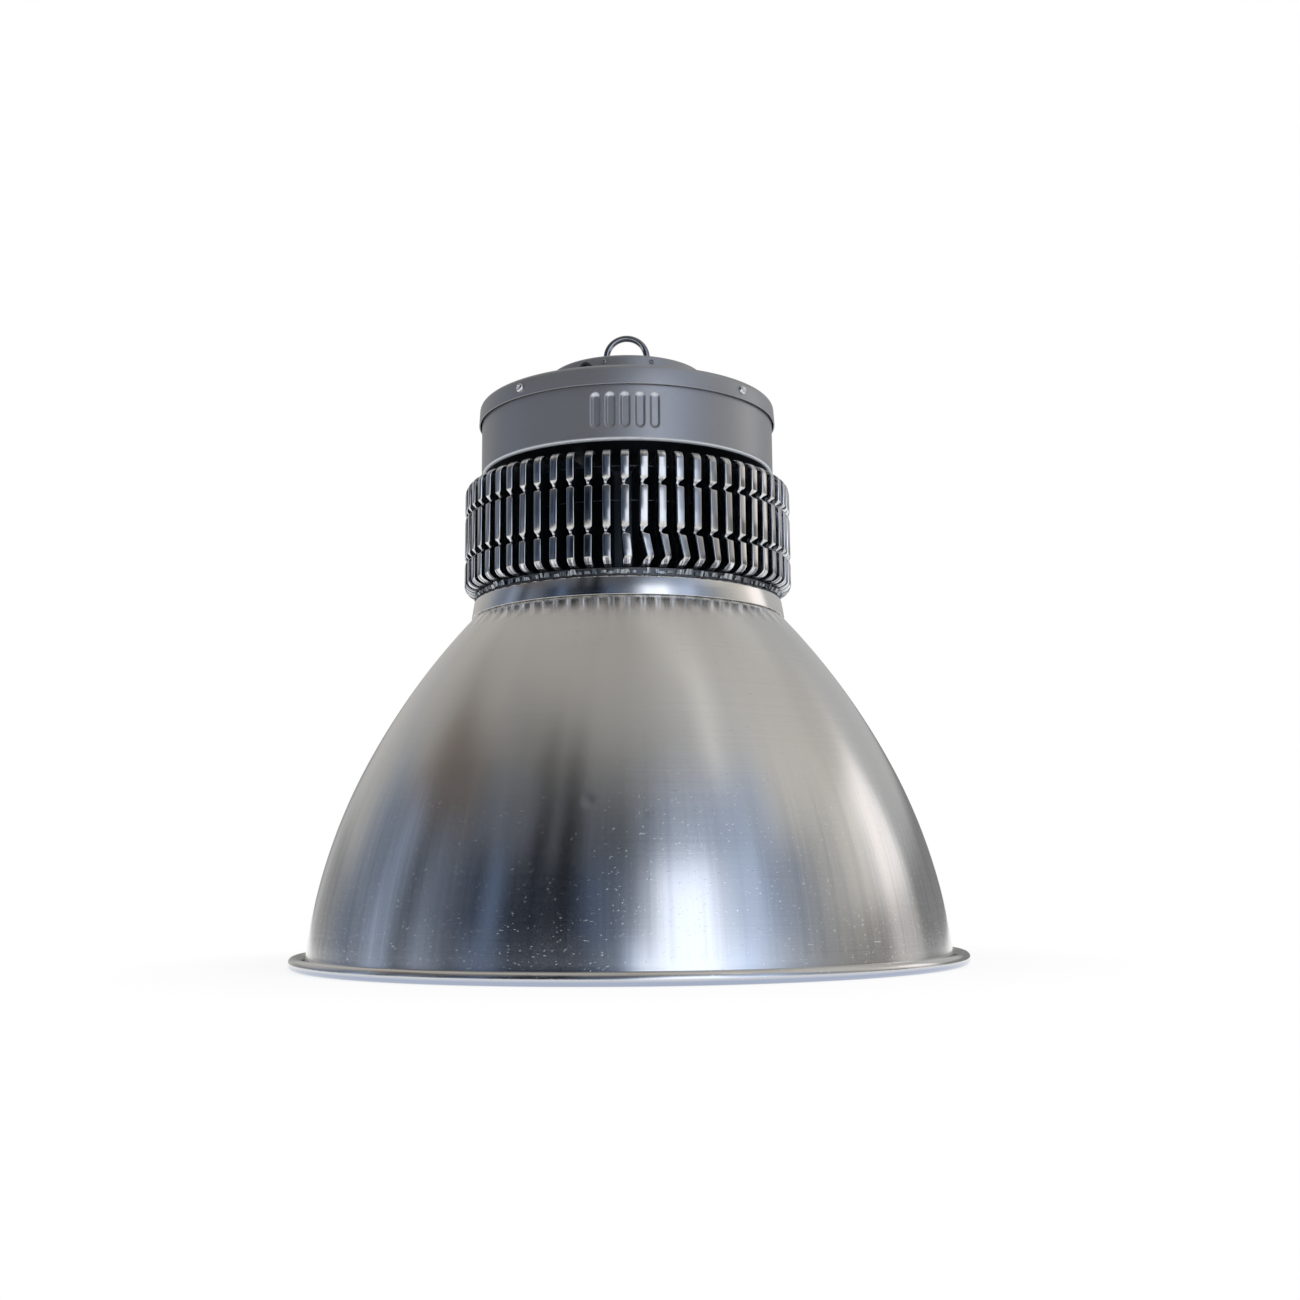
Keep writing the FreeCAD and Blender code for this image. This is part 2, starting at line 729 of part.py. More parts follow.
# ---- suspension eye ----------------------------------------------------------
def suspension_eye():
    """Forged ring on a flanged shank."""
    wire = eye_wire / 2
    loop = Part.makeTorus(eye_outer_diameter / 2 - wire, wire, Vector(0, 0, eye_centre_z),
                          Vector(0, 1, 0))
    flange = rod(eye_flange_radius, eye_flange_height, 0, 0, boss_top_z)
    shank = rod(eye_shank_radius, eye_shank_length, 0, 0, boss_top_z - eye_shank_length)
    return loop.fuse([flange, shank]).removeSplitter()


def eye_plate():
    """Dished steel plate that spreads the load of the eye inside the boss."""
    thick = eye_plate_thickness
    rim = boss_radius_at(boss_top_z - eye_plate_rim) - cover_sheet - 0.15
    head = boss_radius_at(boss_top_z) - cover_sheet - 0.15
    top = eye_plate_z + thick
    foot = top - eye_plate_rim
    body = revolved(rounded_wire([
        (eye_shank_radius + thread_gap, eye_plate_z, 0), (head - thick, eye_plate_z, 0),
        (rim - thick, foot, 0), (rim, foot, 0), (head, top - boss_corner, 0),
        (head - boss_corner, top, 0),
        (eye_shank_radius + thread_gap, top, 0)]))
    rivet_bore = radial_rod(rivet_radius + thread_gap, head - 3 * thick, 6 * thick,
                            boss_top_z - rivet_drop)
    holes = [turned(rivet_bore, angle) for angle in rivet_angles]
    holes.append(turned(radial_rod(grommet_radius + 0.4, head - 4 * thick, 8 * thick, grommet_z),
                        grommet_angle))
    return bored(body, holes)


def boss_rivets():
    """Rivets that hold the eye plate to the side of the boss."""
    z = boss_top_z - rivet_drop
    outside = boss_radius_at(z - rivet_head_radius) + 0.02
    grip = cover_sheet + eye_plate_thickness + 0.6
    one = rod(rivet_radius, grip, 0, 0, -grip).fuse(rod(rivet_head_radius, rivet_head, 0, 0, 0))
    return Part.makeCompound([radial(one, outside, angle, z) for angle in rivet_angles])


def eye_washer():
    return ring(eye_shank_radius + thread_gap, eye_washer_radius,
                eye_plate_z - eye_washer_thickness, eye_washer_thickness)


def eye_nut():
    body = hexagon(eye_nut_across, eye_nut_height,
                   eye_plate_z - eye_washer_thickness - eye_nut_height)
    return body.cut(rod(eye_shank_radius + thread_gap, eye_nut_height, 0, 0,
                        eye_plate_z - eye_washer_thickness - eye_nut_height))


# ---- cable entry -------------------------------------------------------------
def cable_grommet():
    """Rubber grommet in the side of the boss, grooved over the sheet."""
    outside = boss_radius_at(grommet_z - grommet_radius)
    inside = chord_seat(boss_radius_at(grommet_z + grommet_radius) - cover_sheet, grommet_radius)
    groove = radial_rod(grommet_groove_radius, inside, outside - inside, grommet_z)
    outer_lip = radial_rod(grommet_radius, outside + 0.02, grommet_lip, grommet_z)
    inner_lip = radial_rod(grommet_radius, inside - grommet_lip, grommet_lip - 0.02, grommet_z)
    body = groove.fuse([outer_lip, inner_lip,
                        radial_rod(grommet_groove_radius, inside - 0.1, outside - inside + 0.2,
                                   grommet_z)])
    body = body.cut(radial_rod(grommet_bore_radius, inside - 2 * grommet_lip,
                               outside - inside + 4 * grommet_lip, grommet_z))
    return turned(body.removeSplitter(), grommet_angle)


# ---- driver, terminal block and lead -----------------------------------------
def driver_screw_spots():
    reach = driver_length / 2 + end_cap_thickness + driver_foot_length / 2
    return [(side * reach, driver_centre_y) for side in (-1, 1)]


def driver_case():
    """Extruded case of the driver."""
    width, height = driver_width, driver_height
    body = Part.makeBox(driver_length, width, height,
                        Vector(-driver_length / 2, driver_centre_y - width / 2, driver_z))
    long_edges = [e for e in body.Edges if e.BoundBox.XLength > driver_length - 1]
    body = body.makeFillet(driver_corner, long_edges)
    lead_z = driver_z + driver_height / 2
    socket = Part.makeCylinder(lead_radius + thread_gap, 3.0,
                               Vector(0, driver_centre_y - width / 2, lead_z), Vector(0, 1, 0))
    return body.cut(socket)


def driver_end_caps():
    """Pressed end caps, each with a foot for one screw."""
    caps = []
    for side in (-1, 1):
        face = side * driver_length / 2
        far = face + side * end_cap_thickness
        foot_end = far + side * driver_foot_length
        cap = Part.makeBox(end_cap_thickness, driver_width, driver_height + driver_lift,
                           Vector(min(face, far), driver_centre_y - driver_width / 2, floor_seat_z))
        foot = Part.makeBox(driver_foot_length, driver_width * 0.4, driver_foot_thickness,
                            Vector(min(far, foot_end), driver_centre_y - driver_width * 0.2,
                                   floor_seat_z))
        hole = rod(small_screw_radius + thread_gap, driver_foot_thickness,
                   far + side * driver_foot_length / 2, driver_centre_y, floor_seat_z)
        caps.append(cap.fuse(foot).removeSplitter().cut(hole))
    return Part.makeCompound(caps)


def driver_screws():
    one = screw(small_screw_radius, driver_foot_thickness + housing_sheet + 2.0,
                small_screw_head_radius, small_screw_head)
    return Part.makeCompound([stood(one, x, y, floor_seat_z + driver_foot_thickness)
                              for x, y in driver_screw_spots()])


def terminal_screw_spots():
    return [terminal_centre]


def terminal_block():
    """Moulded block with a row of ways and one fixing hole."""
    length, width, height = terminal_size
    x, y = terminal_centre
    body = Part.makeBox(length, width, height, Vector(x - length / 2, y - width / 2, floor_seat_z))
    holes = [rod(small_screw_radius + thread_gap, height, x, y, floor_seat_z),
             rod(small_screw_head_radius + 0.3, height - 3.0, x, y, floor_seat_z + 3.0)]
    step = length / terminal_ways
    for i in range(terminal_ways):
        way_x = x - length / 2 + step * (i + 0.5)
        holes.append(Part.makeCylinder(terminal_way_radius, width * 0.3,
                                       Vector(way_x, y - width / 2, floor_seat_z + height * 0.6),
                                       Vector(0, 1, 0)))
    return bored(body, holes)


def terminal_screw():
    one = screw(small_screw_radius, 3.0 + housing_sheet + 2.0, small_screw_head_radius,
                small_screw_head)
    x, y = terminal_centre
    return stood(one, x, y, floor_seat_z + 3.0)


def led_lead():
    """Lead from the driver, bent down through the core to the light source."""
    top = driver_z + driver_height / 2
    side_y = driver_centre_y - driver_width / 2
    bend = min(lead_bend, side_y - 1.0)
    corner = bend * (1 - math.sqrt(0.5))
    path = Part.Wire([
        Part.makeLine(Vector(0, 0, board_z), Vector(0, 0, top - bend)),
        Part.Arc(Vector(0, 0, top - bend), Vector(0, corner, top - corner),
                 Vector(0, bend, top)).toShape(),
        Part.makeLine(Vector(0, bend, top), Vector(0, side_y + 3.0, top))])
    section = Part.Wire([Part.makeCircle(lead_radius, Vector(0, 0, board_z))])
    return path.makePipeShell([section], True, False)


def wire_bush():
    """Flanged bush that guards the lead at the housing floor."""
    bore = lead_radius + 0.4
    body = ring(bore, wire_hole_radius - thread_gap, housing_z - bush_lip,
                housing_sheet + bush_lip)
    lip = ring(bore, bush_lip_radius, housing_floor_z, bush_lip)
    return body.fuse(lip).removeSplitter()


PIECES = {
    "suspension_eye": suspension_eye,
    "eye_plate": eye_plate,
    "eye_washer": eye_washer,
    "eye_nut": eye_nut,
    "boss_rivets": boss_rivets,
    "top_cover": top_cover,
    "cover_screws": cover_screws,
    "cover_nuts": cover_nuts,
    "cable_grommet": cable_grommet,
    "driver_housing": driver_housing,
    "housing_screws": housing_screws,
    "housing_standoffs": housing_standoffs,
    "driver_case": driver_case,
    "driver_end_caps": driver_end_caps,
    "driver_screws": driver_screws,
    "terminal_block": terminal_block,
    "terminal_screw": terminal_screw,
    "wire_bush": wire_bush,
    "led_lead": led_lead,
    "heat_sink": heat_sink,
    "carrier_plate": carrier_plate,
    "plate_screws": plate_screws,
    "led_board": led_board,
    "led_emitter": led_emitter,
    "led_board_screws": led_board_screws,
    "collar": collar,
    "lens_seal": lens_seal,
    "lens_glass": lens_glass,
    "lens_gasket": lens_gasket,
    "reflector": reflector,
    "reflector_screws": reflector_screws,
}


def main():
    os.makedirs("parts", exist_ok=True)
    for name, make in PIECES.items():
        shape = make()
        shape.exportStep(os.path.join("parts", name + ".step"))
        print(name, len(shape.Solids), "solid(s)", round(shape.Volume / 1000, 2), "cm3",
              "valid" if shape.isValid() else "NOT VALID")


main()
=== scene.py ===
"""Looks of the high bay light: reflector, fins, painted housing, studio and camera."""
import json
import math
import random

import bmesh
import bpy
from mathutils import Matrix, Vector


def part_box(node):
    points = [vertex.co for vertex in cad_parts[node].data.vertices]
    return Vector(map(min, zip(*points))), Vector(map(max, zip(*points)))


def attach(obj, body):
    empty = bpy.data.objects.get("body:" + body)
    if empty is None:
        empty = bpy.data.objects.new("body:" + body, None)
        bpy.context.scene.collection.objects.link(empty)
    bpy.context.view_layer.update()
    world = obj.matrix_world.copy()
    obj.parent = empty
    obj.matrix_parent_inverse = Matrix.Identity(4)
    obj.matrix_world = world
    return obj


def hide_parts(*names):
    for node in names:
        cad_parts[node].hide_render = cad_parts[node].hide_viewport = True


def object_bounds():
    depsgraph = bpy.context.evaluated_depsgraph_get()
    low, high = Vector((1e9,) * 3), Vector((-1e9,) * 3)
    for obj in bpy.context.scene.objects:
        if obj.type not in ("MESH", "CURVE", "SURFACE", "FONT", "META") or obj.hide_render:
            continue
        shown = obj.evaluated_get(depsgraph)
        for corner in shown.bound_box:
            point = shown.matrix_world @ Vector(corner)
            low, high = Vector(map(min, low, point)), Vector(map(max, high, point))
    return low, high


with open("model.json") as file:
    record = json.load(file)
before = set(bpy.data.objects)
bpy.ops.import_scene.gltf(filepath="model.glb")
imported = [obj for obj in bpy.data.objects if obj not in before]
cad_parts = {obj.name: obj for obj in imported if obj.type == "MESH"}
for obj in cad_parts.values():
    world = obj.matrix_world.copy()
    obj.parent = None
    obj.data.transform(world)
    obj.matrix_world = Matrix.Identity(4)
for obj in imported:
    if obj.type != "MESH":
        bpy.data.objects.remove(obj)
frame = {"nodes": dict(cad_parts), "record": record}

cad_low, cad_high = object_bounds()

# ---- places, read from the frame ----
BODY = "root"
DOME_LOW, DOME_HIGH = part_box("reflector")
COLLAR_LOW, COLLAR_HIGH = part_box("collar")
PLATE_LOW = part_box("carrier_plate")[0]
SINK_LOW, SINK_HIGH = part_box("heat_sink")
HOUSING_LOW, HOUSING_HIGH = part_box("driver_housing")
COVER_LOW, COVER_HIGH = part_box("top_cover")
EYE_LOW, EYE_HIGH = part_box("suspension_eye")
SCREWS_LOW, SCREWS_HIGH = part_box("cover_screws")
RIVETS_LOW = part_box("boss_rivets")[0]

MM = 0.001

# ---- sizes: most are those of the part's source, the rest are finer details ----
RIM_RADIUS = DOME_HIGH[0]
DOME_TOP = DOME_HIGH[2]
DOME_SHEET = 1.2 * MM
BEAD_DIAMETER = 8.5 * MM
BEAD_CREASE = 3.6 * MM
WALL_FOOT = 9.0 * MM
NECK_RADIUS = 113.9 * MM
NECK_OPENING = 95.0 * MM
NECK_SLOPE = 47.5
FOOT_LEAN = 6.3
DOME_SEGMENTS = 472

COLLAR_BORE = 92.0 * MM
COLLAR_CORNER = 2.2 * MM
LENS_SEAT = 99.0 * MM
LENS_LEDGE = 3.0 * MM

FIN_COUNT = 60
FIN_SHEET = 0.8 * MM
FIN_FLANGE = 5.7 * MM
FIN_RADIUS = SINK_HIGH[0]
FIN_HEIGHT = 80.2 * MM
FIN_TOP = SINK_HIGH[2]
FIN_FOOT = FIN_TOP - FIN_HEIGHT
CORE_RADIUS = 62.0 * MM
CORE_BORE = 7.0 * MM
NOTCH_SPACING = 33.4 * MM
NOTCH_DEPTH = 2.9 * MM
NOTCH_CUT_LEFT = 0.6 * MM
NOTCH_CUT_RIGHT = 2.7 * MM
FIN_MIDDLE = (FIN_FOOT + FIN_TOP) / 2
FIN_RUN_IN = 13 * MM
FIN_FOOT_CORNER = 9.0 * MM
FIN_FOOT_SQUEEZE = 6.0 / 9.0
FIN_HEAD_CORNER = 6.6 * MM
LOCKING_RING_RADIUS = 105.0 * MM
LOCKING_RING_DROPS = (9.0 * MM, 33.0 * MM)
LOCKING_RING_WIDTH = 0.6 * MM
LOCKING_RING_SHEET = 0.5 * MM
TAB_COUNT = 150
TAB_RADIUS = 112.6 * MM
TAB_SHEET = 0.5 * MM

HOUSING_RADIUS = 109.1 * MM
HOUSING_SHEET = 1.0 * MM
HOUSING_CORNER = 2.5 * MM
LEAD_HOLE_RADIUS = 8.0 * MM
GROOVE_COUNT = 5
GROOVE_PITCH = 10.3 * MM
GROOVE_WIDTH = 7.5 * MM
GROOVE_HEIGHT = 26.3 * MM
GROOVE_DROP = 14.4 * MM
GROOVE_DEPTH = 2.0 * MM
GROOVE_LEFT_SLOPE = 2.2 * MM
GROOVE_RIGHT_SLOPE = 1.1 * MM
GROOVE_END_SLOPE = 2.6 * MM

COVER_LIP_RADIUS = 111.3 * MM
COVER_HEAD_RADIUS = 110.4 * MM
COVER_SHEET = 0.9 * MM
COVER_SKIRT = 14.5 * MM
BOSS_FOOT_RADIUS = 60.5 * MM
BOSS_HEAD_RADIUS = 58.6 * MM
BOSS_CORNER = 2.4 * MM
EYE_HOLE_RADIUS = 4.1 * MM

SCREW_FIRST_ANGLE = 48.2
SCREW_HEAD_RADIUS = 3.25 * MM
SCREW_HEAD_HEIGHT = 2.0 * MM
SCREW_SHANK_RADIUS = 1.9 * MM
SCREW_SHANK_LENGTH = 6.8 * MM
SCREW_PITCH = 0.7 * MM
SCREW_THREAD_DEPTH = 0.35 * MM
RIVET_ANGLES = (-15.5, 18.5, 164.5, 198.5)
RIVET_FLANGE_RADIUS = 1.9 * MM

EYE_DIAMETER = 35.3 * MM
EYE_WIRE = 4.8 * MM


# ---- small helpers ----
def direction(angle):
    """Unit (radius, height) pair at an angle over +X, in degrees."""
    turn = math.radians(angle)
    return math.cos(turn), math.sin(turn)


def at(angle, reach, across, z):
    """Point at a reach from the axis and a distance across it, at an angle from the front."""
    c, s = math.cos(angle), math.sin(angle)
    return reach * s + across * c, -reach * c + across * s, z


def smooth_step(low, high, value):
    """0 to 1 between two values, level at both ends."""
    share = min(max((value - low) / (high - low), 0.0), 1.0)
    return share * share * (3 - 2 * share)


def arc_points(centre, radius, start, end, steps):
    """Points on an arc in the (radius, height) plane, angles in degrees."""
    points = []
    for i in range(steps + 1):
        c, s = direction(start + (end - start) * i / steps)
        points.append((centre[0] + radius * c, centre[1] + radius * s))
    return points


def rounded(corners, steps):
    """Closed outline through (radius, height, corner radius) points."""
    outline = []
    for i, (x, z, corner) in enumerate(corners):
        before = corners[i - 1]
        after = corners[(i + 1) % len(corners)]
        if corner <= 0:
            outline.append((x, z))
            continue
        back = Vector((before[0] - x, before[1] - z)).normalized()
        ahead = Vector((after[0] - x, after[1] - z)).normalized()
        half = back.angle(ahead) / 2
        reach = corner / math.tan(half)
        centre = Vector((x, z)) + (back + ahead).normalized() * corner / math.sin(half)
        first = Vector((x, z)) + back * reach - centre
        last = Vector((x, z)) + ahead * reach - centre
        start = math.degrees(math.atan2(first.y, first.x))
        sweep = math.degrees(math.atan2(last.y, last.x)) - start
        sweep = (sweep + 180) % 360 - 180
        outline += arc_points(centre, corner, start, start + sweep, steps)
    return outline


def quads(rows, count, start=0, loop_rows=True, loop_count=True):
    """Faces between neighbouring rows of points, with the same count of points in each."""
    faces = []
    for i in range(rows if loop_rows else rows - 1):
        here, there = start + i * count, start + (i + 1) % rows * count
        for j in range(count if loop_count else count - 1):
            k = (j + 1) % count
            faces.append((here + j, here + k, there + k, there + j))
    return faces


def mesh_object(name, vertices, faces, material, sharp=180):
    """Smooth-shaded mesh object; edges over the sharp angle stay crisp."""
    mesh = bpy.data.meshes.new(name)
    mesh.from_pydata(vertices, [], faces)
    mesh.validate()
    shaped = bmesh.new()
    shaped.from_mesh(mesh)
    bmesh.ops.recalc_face_normals(shaped, faces=shaped.faces)
    shaped.to_mesh(mesh)
    shaped.free()
    mesh.shade_smooth()
    mesh.set_sharp_from_angle(angle=math.radians(sharp))
    mesh.materials.append(material)
    obj = bpy.data.objects.new(name, mesh)
    bpy.context.scene.collection.objects.link(obj)
    return obj


def lathe(name, outline, segments, material, shape=None, sharp=35, closed=True):
    """Outline turned round the axis. shape(angle, radius, z) may move a point."""
    vertices = []
    for i in range(segments):
        angle = 2 * math.pi * i / segments
        for radius, z in outline:
            if shape:
                radius, z = shape(angle, radius, z)
            vertices.append(at(angle, radius, 0, z))
    faces = quads(segments, len(outline), loop_count=closed)
    return mesh_object(name, vertices, faces, material, sharp)


def radial_lathe(name, outline, angle, z, spokes, material, sharp, capped=False):
    """Outline of (size, reach) points turned round a line that leaves the axis at a height."""
    vertices = []
    for size, reach in outline:
        for j in range(spokes):
            spoke = 2 * math.pi * j / spokes
            vertices.append(at(angle, reach, size * math.cos(spoke), z + size * math.sin(spoke)))
    faces = quads(len(outline), spokes, loop_rows=False)
    if capped:
        for end in (0, (len(outline) - 1) * spokes):
            faces.append(tuple(end + j for j in range(spokes)))
    return mesh_object(name, vertices, faces, material, sharp)


def joined(name, objects):
    """One object from several, with the name given."""
    for obj in bpy.context.selected_objects:
        obj.select_set(False)
    for obj in objects:
        obj.select_set(True)
    bpy.context.view_layer.objects.active = objects[0]
    bpy.ops.object.join()
    objects[0].name = name
    return objects[0]


def dress(piece, slot, *nodes):
    """The piece rides on the body and stands for CAD nodes, which it hides; the slot is not used.
    """
    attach(piece, BODY)
    if nodes:
        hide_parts(*nodes)


# ---- node helpers ----
class Graph:
    """A material's node tree, with short calls for the nodes used here."""

    def __init__(self, name):
        self.material = bpy.data.materials.new(name)
        self.material.use_nodes = True
        self.tree = self.material.node_tree
        self.bsdf = self.tree.nodes["Principled BSDF"]
        self.output = self.tree.nodes["Material Output"]
        self.place = self.tree.nodes.new("ShaderNodeTexCoord").outputs["Object"]

    def node(self, kind, **settings):
        made = self.tree.nodes.new(kind)
        for key, value in settings.items():
            setattr(made, key, value)
        return made

    def feed(self, socket, value):
        if isinstance(value, bpy.types.NodeSocket):
            self.tree.links.new(value, socket)
        else:
            socket.default_value = value

    def math(self, operation, *values):
        made = self.node("ShaderNodeMath", operation=operation)
        for socket, value in zip(made.inputs, values):
            self.feed(socket, value)
        return made.outputs[0]

    def stretched(self, x, y, z):
        """Object coordinates multiplied by a factor on each axis."""
        made = self.node("ShaderNodeMapping")
        self.feed(made.inputs["Vector"], self.place)
        made.inputs["Scale"].default_value = (x, y, z)
        return made.outputs[0]

    def times(self, first, second):
        return self.math("MULTIPLY", first, second)

    def noise(self, vector, detail=3.0, roughness=0.5):
        made = self.node("ShaderNodeTexNoise")
        self.feed(made.inputs["Vector"], vector)
        made.inputs["Scale"].default_value = 1.0
        made.inputs["Detail"].default_value = detail
        made.inputs["Roughness"].default_value = roughness
        return made.outputs["Fac"]

    def span(self, value, low, high, to_low, to_high, smooth=False):
        """The value taken from one range to another, and held at its ends."""
        made = self.node("ShaderNodeMapRange",
                         interpolation_type="SMOOTHSTEP" if smooth else "LINEAR")
        for socket, number in zip(made.inputs[:5], (value, low, high, to_low, to_high)):
            self.feed(socket, number)
        return made.outputs[0]

    def blend(self, share, first, second, how="MIX"):
        """Colour between two colours, or one times the other where how says so."""
        made = self.node("ShaderNodeMix", data_type="RGBA", blend_type=how)
        self.feed(made.inputs["Factor"], share)
        colours = [s for s in made.inputs if s.type == "RGBA"]
        for socket, value in zip(colours, (first, second)):
            self.feed(socket, value if isinstance(value, bpy.types.NodeSocket)
                      else (*value, 1.0))
        return [s for s in made.outputs if s.type == "RGBA"][0]

    def axes(self, vector=None):
        """The three numbers of a vector, by default of the object coordinates."""
        made = self.node("ShaderNodeSeparateXYZ")
        self.feed(made.inputs[0], self.place if vector is None else vector)
        return made.outputs[0], made.outputs[1], made.outputs[2]

    def ramp(self, value, stops):
        """Colour along a value, straight between its (place, colour) stops."""
        made = self.node("ShaderNodeValToRGB")
        self.feed(made.inputs[0], value)
        elements = made.color_ramp.elements
        while len(elements) < len(stops):
            elements.new(0.5)
        for element, (place, colour) in zip(elements, stops):
            element.position = place
            element.color = (*colour, 1.0)
        return made.outputs[0]

    def radius(self):
        """Distance from the lamp's axis."""
        x, y, _ = self.axes()
        return self.math("SQRT", self.math("ADD", self.times(x, x), self.times(y, y)))

    def between(self, value, low, low_full, high_full, high):
        """1 between the two inner values, 0 outside the two outer ones."""
        return self.times(self.span(value, low, low_full, 0.0, 1.0),
                          self.span(value, high_full, high, 1.0, 0.0))

    def columns(self, count, rise):
        """Place for noise that runs in upright streaks round the axis."""
        x, y, z = self.axes()
        radius = self.radius()
        made = self.node("ShaderNodeCombineXYZ")
        for socket, value in zip(made.inputs, (x, y)):
            self.feed(socket, self.times(self.math("DIVIDE", value, radius), count))
        self.feed(made.inputs[2], self.times(z, rise))
        return made.outputs[0]

    def bump(self, height, distance, strength, before=None):
        """Normal from a height, on top of the normal before it."""
        made = self.node("ShaderNodeBump")
        made.inputs["Strength"].default_value = strength
        made.inputs["Distance"].default_value = distance
        self.feed(made.inputs["Height"], height)
        if before is not None:
            self.feed(made.inputs["Normal"], before)
        return made.outputs[0]

    def set(self, **sockets):
        """Feeds the shader's sockets, named with _ for a space."""
        for name, value in sockets.items():
            self.feed(self.bsdf.inputs[name.replace("_", " ")], value)

    def turned(self, stretch):
        """Highlights stretched across the marks that turning or spinning leaves."""
        self.bsdf.inputs["Anisotropic"].default_value = stretch
        self.bsdf.inputs["Anisotropic Rotation"].default_value = 0.25
        made = self.node("ShaderNodeTangent", direction_type="RADIAL", axis="Z")
        self.feed(self.bsdf.inputs["Tangent"], made.outputs[0])


# ---- materials ----
def spun_aluminium():
    """Spun dome: fine rings, painted reflection streaks, tiny hollows with painted glints, a
    painted reflection of the fins under the neck and a painted blue-grey reflection on the bead.
    """
    g = Graph("spun_aluminium")
    x, y, z = g.axes()
    rings = g.noise(g.stretched(3, 3, 2600), detail=2.0, roughness=0.6)
    broad = g.noise(g.stretched(2, 2, 420), detail=2.0)
    cloud = g.noise(g.stretched(9, 9, 14))
    speck = g.noise(g.stretched(420, 420, 700), detail=1.0)
    tone = g.span(rings, 0.3, 0.7, 0.0, 1.0)
    colour = g.blend(tone, (0.755, 0.755, 0.745), (0.79, 0.79, 0.78))
    colour = g.blend(g.span(speck, 0.72, 0.80, 0.0, 0.35), colour, (0.35, 0.34, 0.33))
    # the brightest specks low on the dome are painted glints; the same specks bump the sheet as
    # tiny hollows
    pits_and_glints = g.times(g.span(speck, 0.31, 0.25, 0.0, 1.0),
                   g.span(z, 0.09, 0.15, 1.0, 0.15, smooth=True))
    colour = g.blend(g.times(pits_and_glints, 0.8), colour, (0.98, 0.98, 0.98))
    # darker blue-grey upright streaks on the lower wall are painted reflection streaks
    streak_noise = g.noise(g.columns(26, 2.2), roughness=0.65)
    reach = g.span(z, 0.06, 0.15, 1.0, 0.12, smooth=True)
    reach = g.times(reach, g.span(z, 0.008, 0.016, 0.0, 1.0))
    painted_streak_shade = g.times(g.span(streak_noise, 0.42, 0.66, 0.0, 0.32), reach)
    colour = g.blend(painted_streak_shade, colour, (0.42, 0.45, 0.50))
    # bright and dark columns just under the neck, one pair for each fin, are a painted reflection
    # of the fins' feet
    turn = g.times(g.math("ARCTAN2", x, y), FIN_COUNT)
    fin_reflection_ripple = g.math("ADD", g.span(g.math("SINE", turn), -1.0, 1.0, 0.0, 1.0),
                    g.span(streak_noise, 0.35, 0.65, -0.35, 0.35))
    neck_reflection_band = g.times(g.span(z, DOME_TOP - 0.015, DOME_TOP - 0.007, 0.0, 0.8, smooth=True),
                    g.span(z, DOME_TOP - 0.003, DOME_TOP, 1.0, 0.4))
    colour = g.blend(g.times(g.span(fin_reflection_ripple, 0.50, 0.95, 0.0, 1.0), neck_reflection_band), colour,
                     (1.0, 0.98, 1.0))
    colour = g.blend(g.times(g.span(fin_reflection_ripple, 0.05, 0.50, 0.5, 0.0), neck_reflection_band), colour,
                     (0.42, 0.42, 0.44))
    # the lower half of the bead is painted a darker blue-grey: a painted reflection
    bead = g.span(z, 0.6 * BEAD_DIAMETER, 0.25 * BEAD_DIAMETER, 0.0, 1.0, smooth=True)
    colour = g.blend(bead, colour, (0.40, 0.45, 0.57))
    satin = g.span(z, 0.05, 0.19, 0.155, 0.205, smooth=True)
    satin = g.times(satin, g.span(z, DOME_TOP - 0.040, DOME_TOP - 0.020, 1.0, 0.80, smooth=True))
    rough = g.math("ADD", satin, g.span(cloud, 0.3, 0.7, -0.015, 0.015))
    rough = g.math("ADD", rough, g.span(rings, 0.3, 0.7, -0.012, 0.012))
    normal = g.bump(broad, 0.00003, 0.18)
    normal = g.bump(rings, 0.00001, 0.5, normal)
    normal = g.bump(pits_and_glints, 0.00005, 0.8, normal)
    g.set(Base_Color=colour, Metallic=1.0, Roughness=rough, Normal=normal)
    g.turned(0.9)
    return g.material


def turned_aluminium():
    """Collar: turned and brushed round the axis, with a bright upper corner."""
    g = Graph("turned_aluminium")
    rings = g.noise(g.stretched(6, 6, 3000), detail=2.0)
    smear = g.noise(g.stretched(60, 60, 8))
    colour = g.blend(rings, (0.76, 0.75, 0.73), (0.88, 0.87, 0.85))
    rough = g.math("ADD", g.span(smear, 0.3, 0.7, 0.12, 0.18),
                   g.span(rings, 0.3, 0.7, -0.03, 0.03))
    corner = COLLAR_HIGH[2] - COLLAR_CORNER
    rough = g.times(rough, g.span(g.axes()[2], corner, corner + 0.6 * MM, 1.0, 0.35))
    g.set(Base_Color=colour, Metallic=1.0, Roughness=rough,
          Normal=g.bump(rings, 0.00001, 0.6))
    g.turned(0.8)
    return g.material


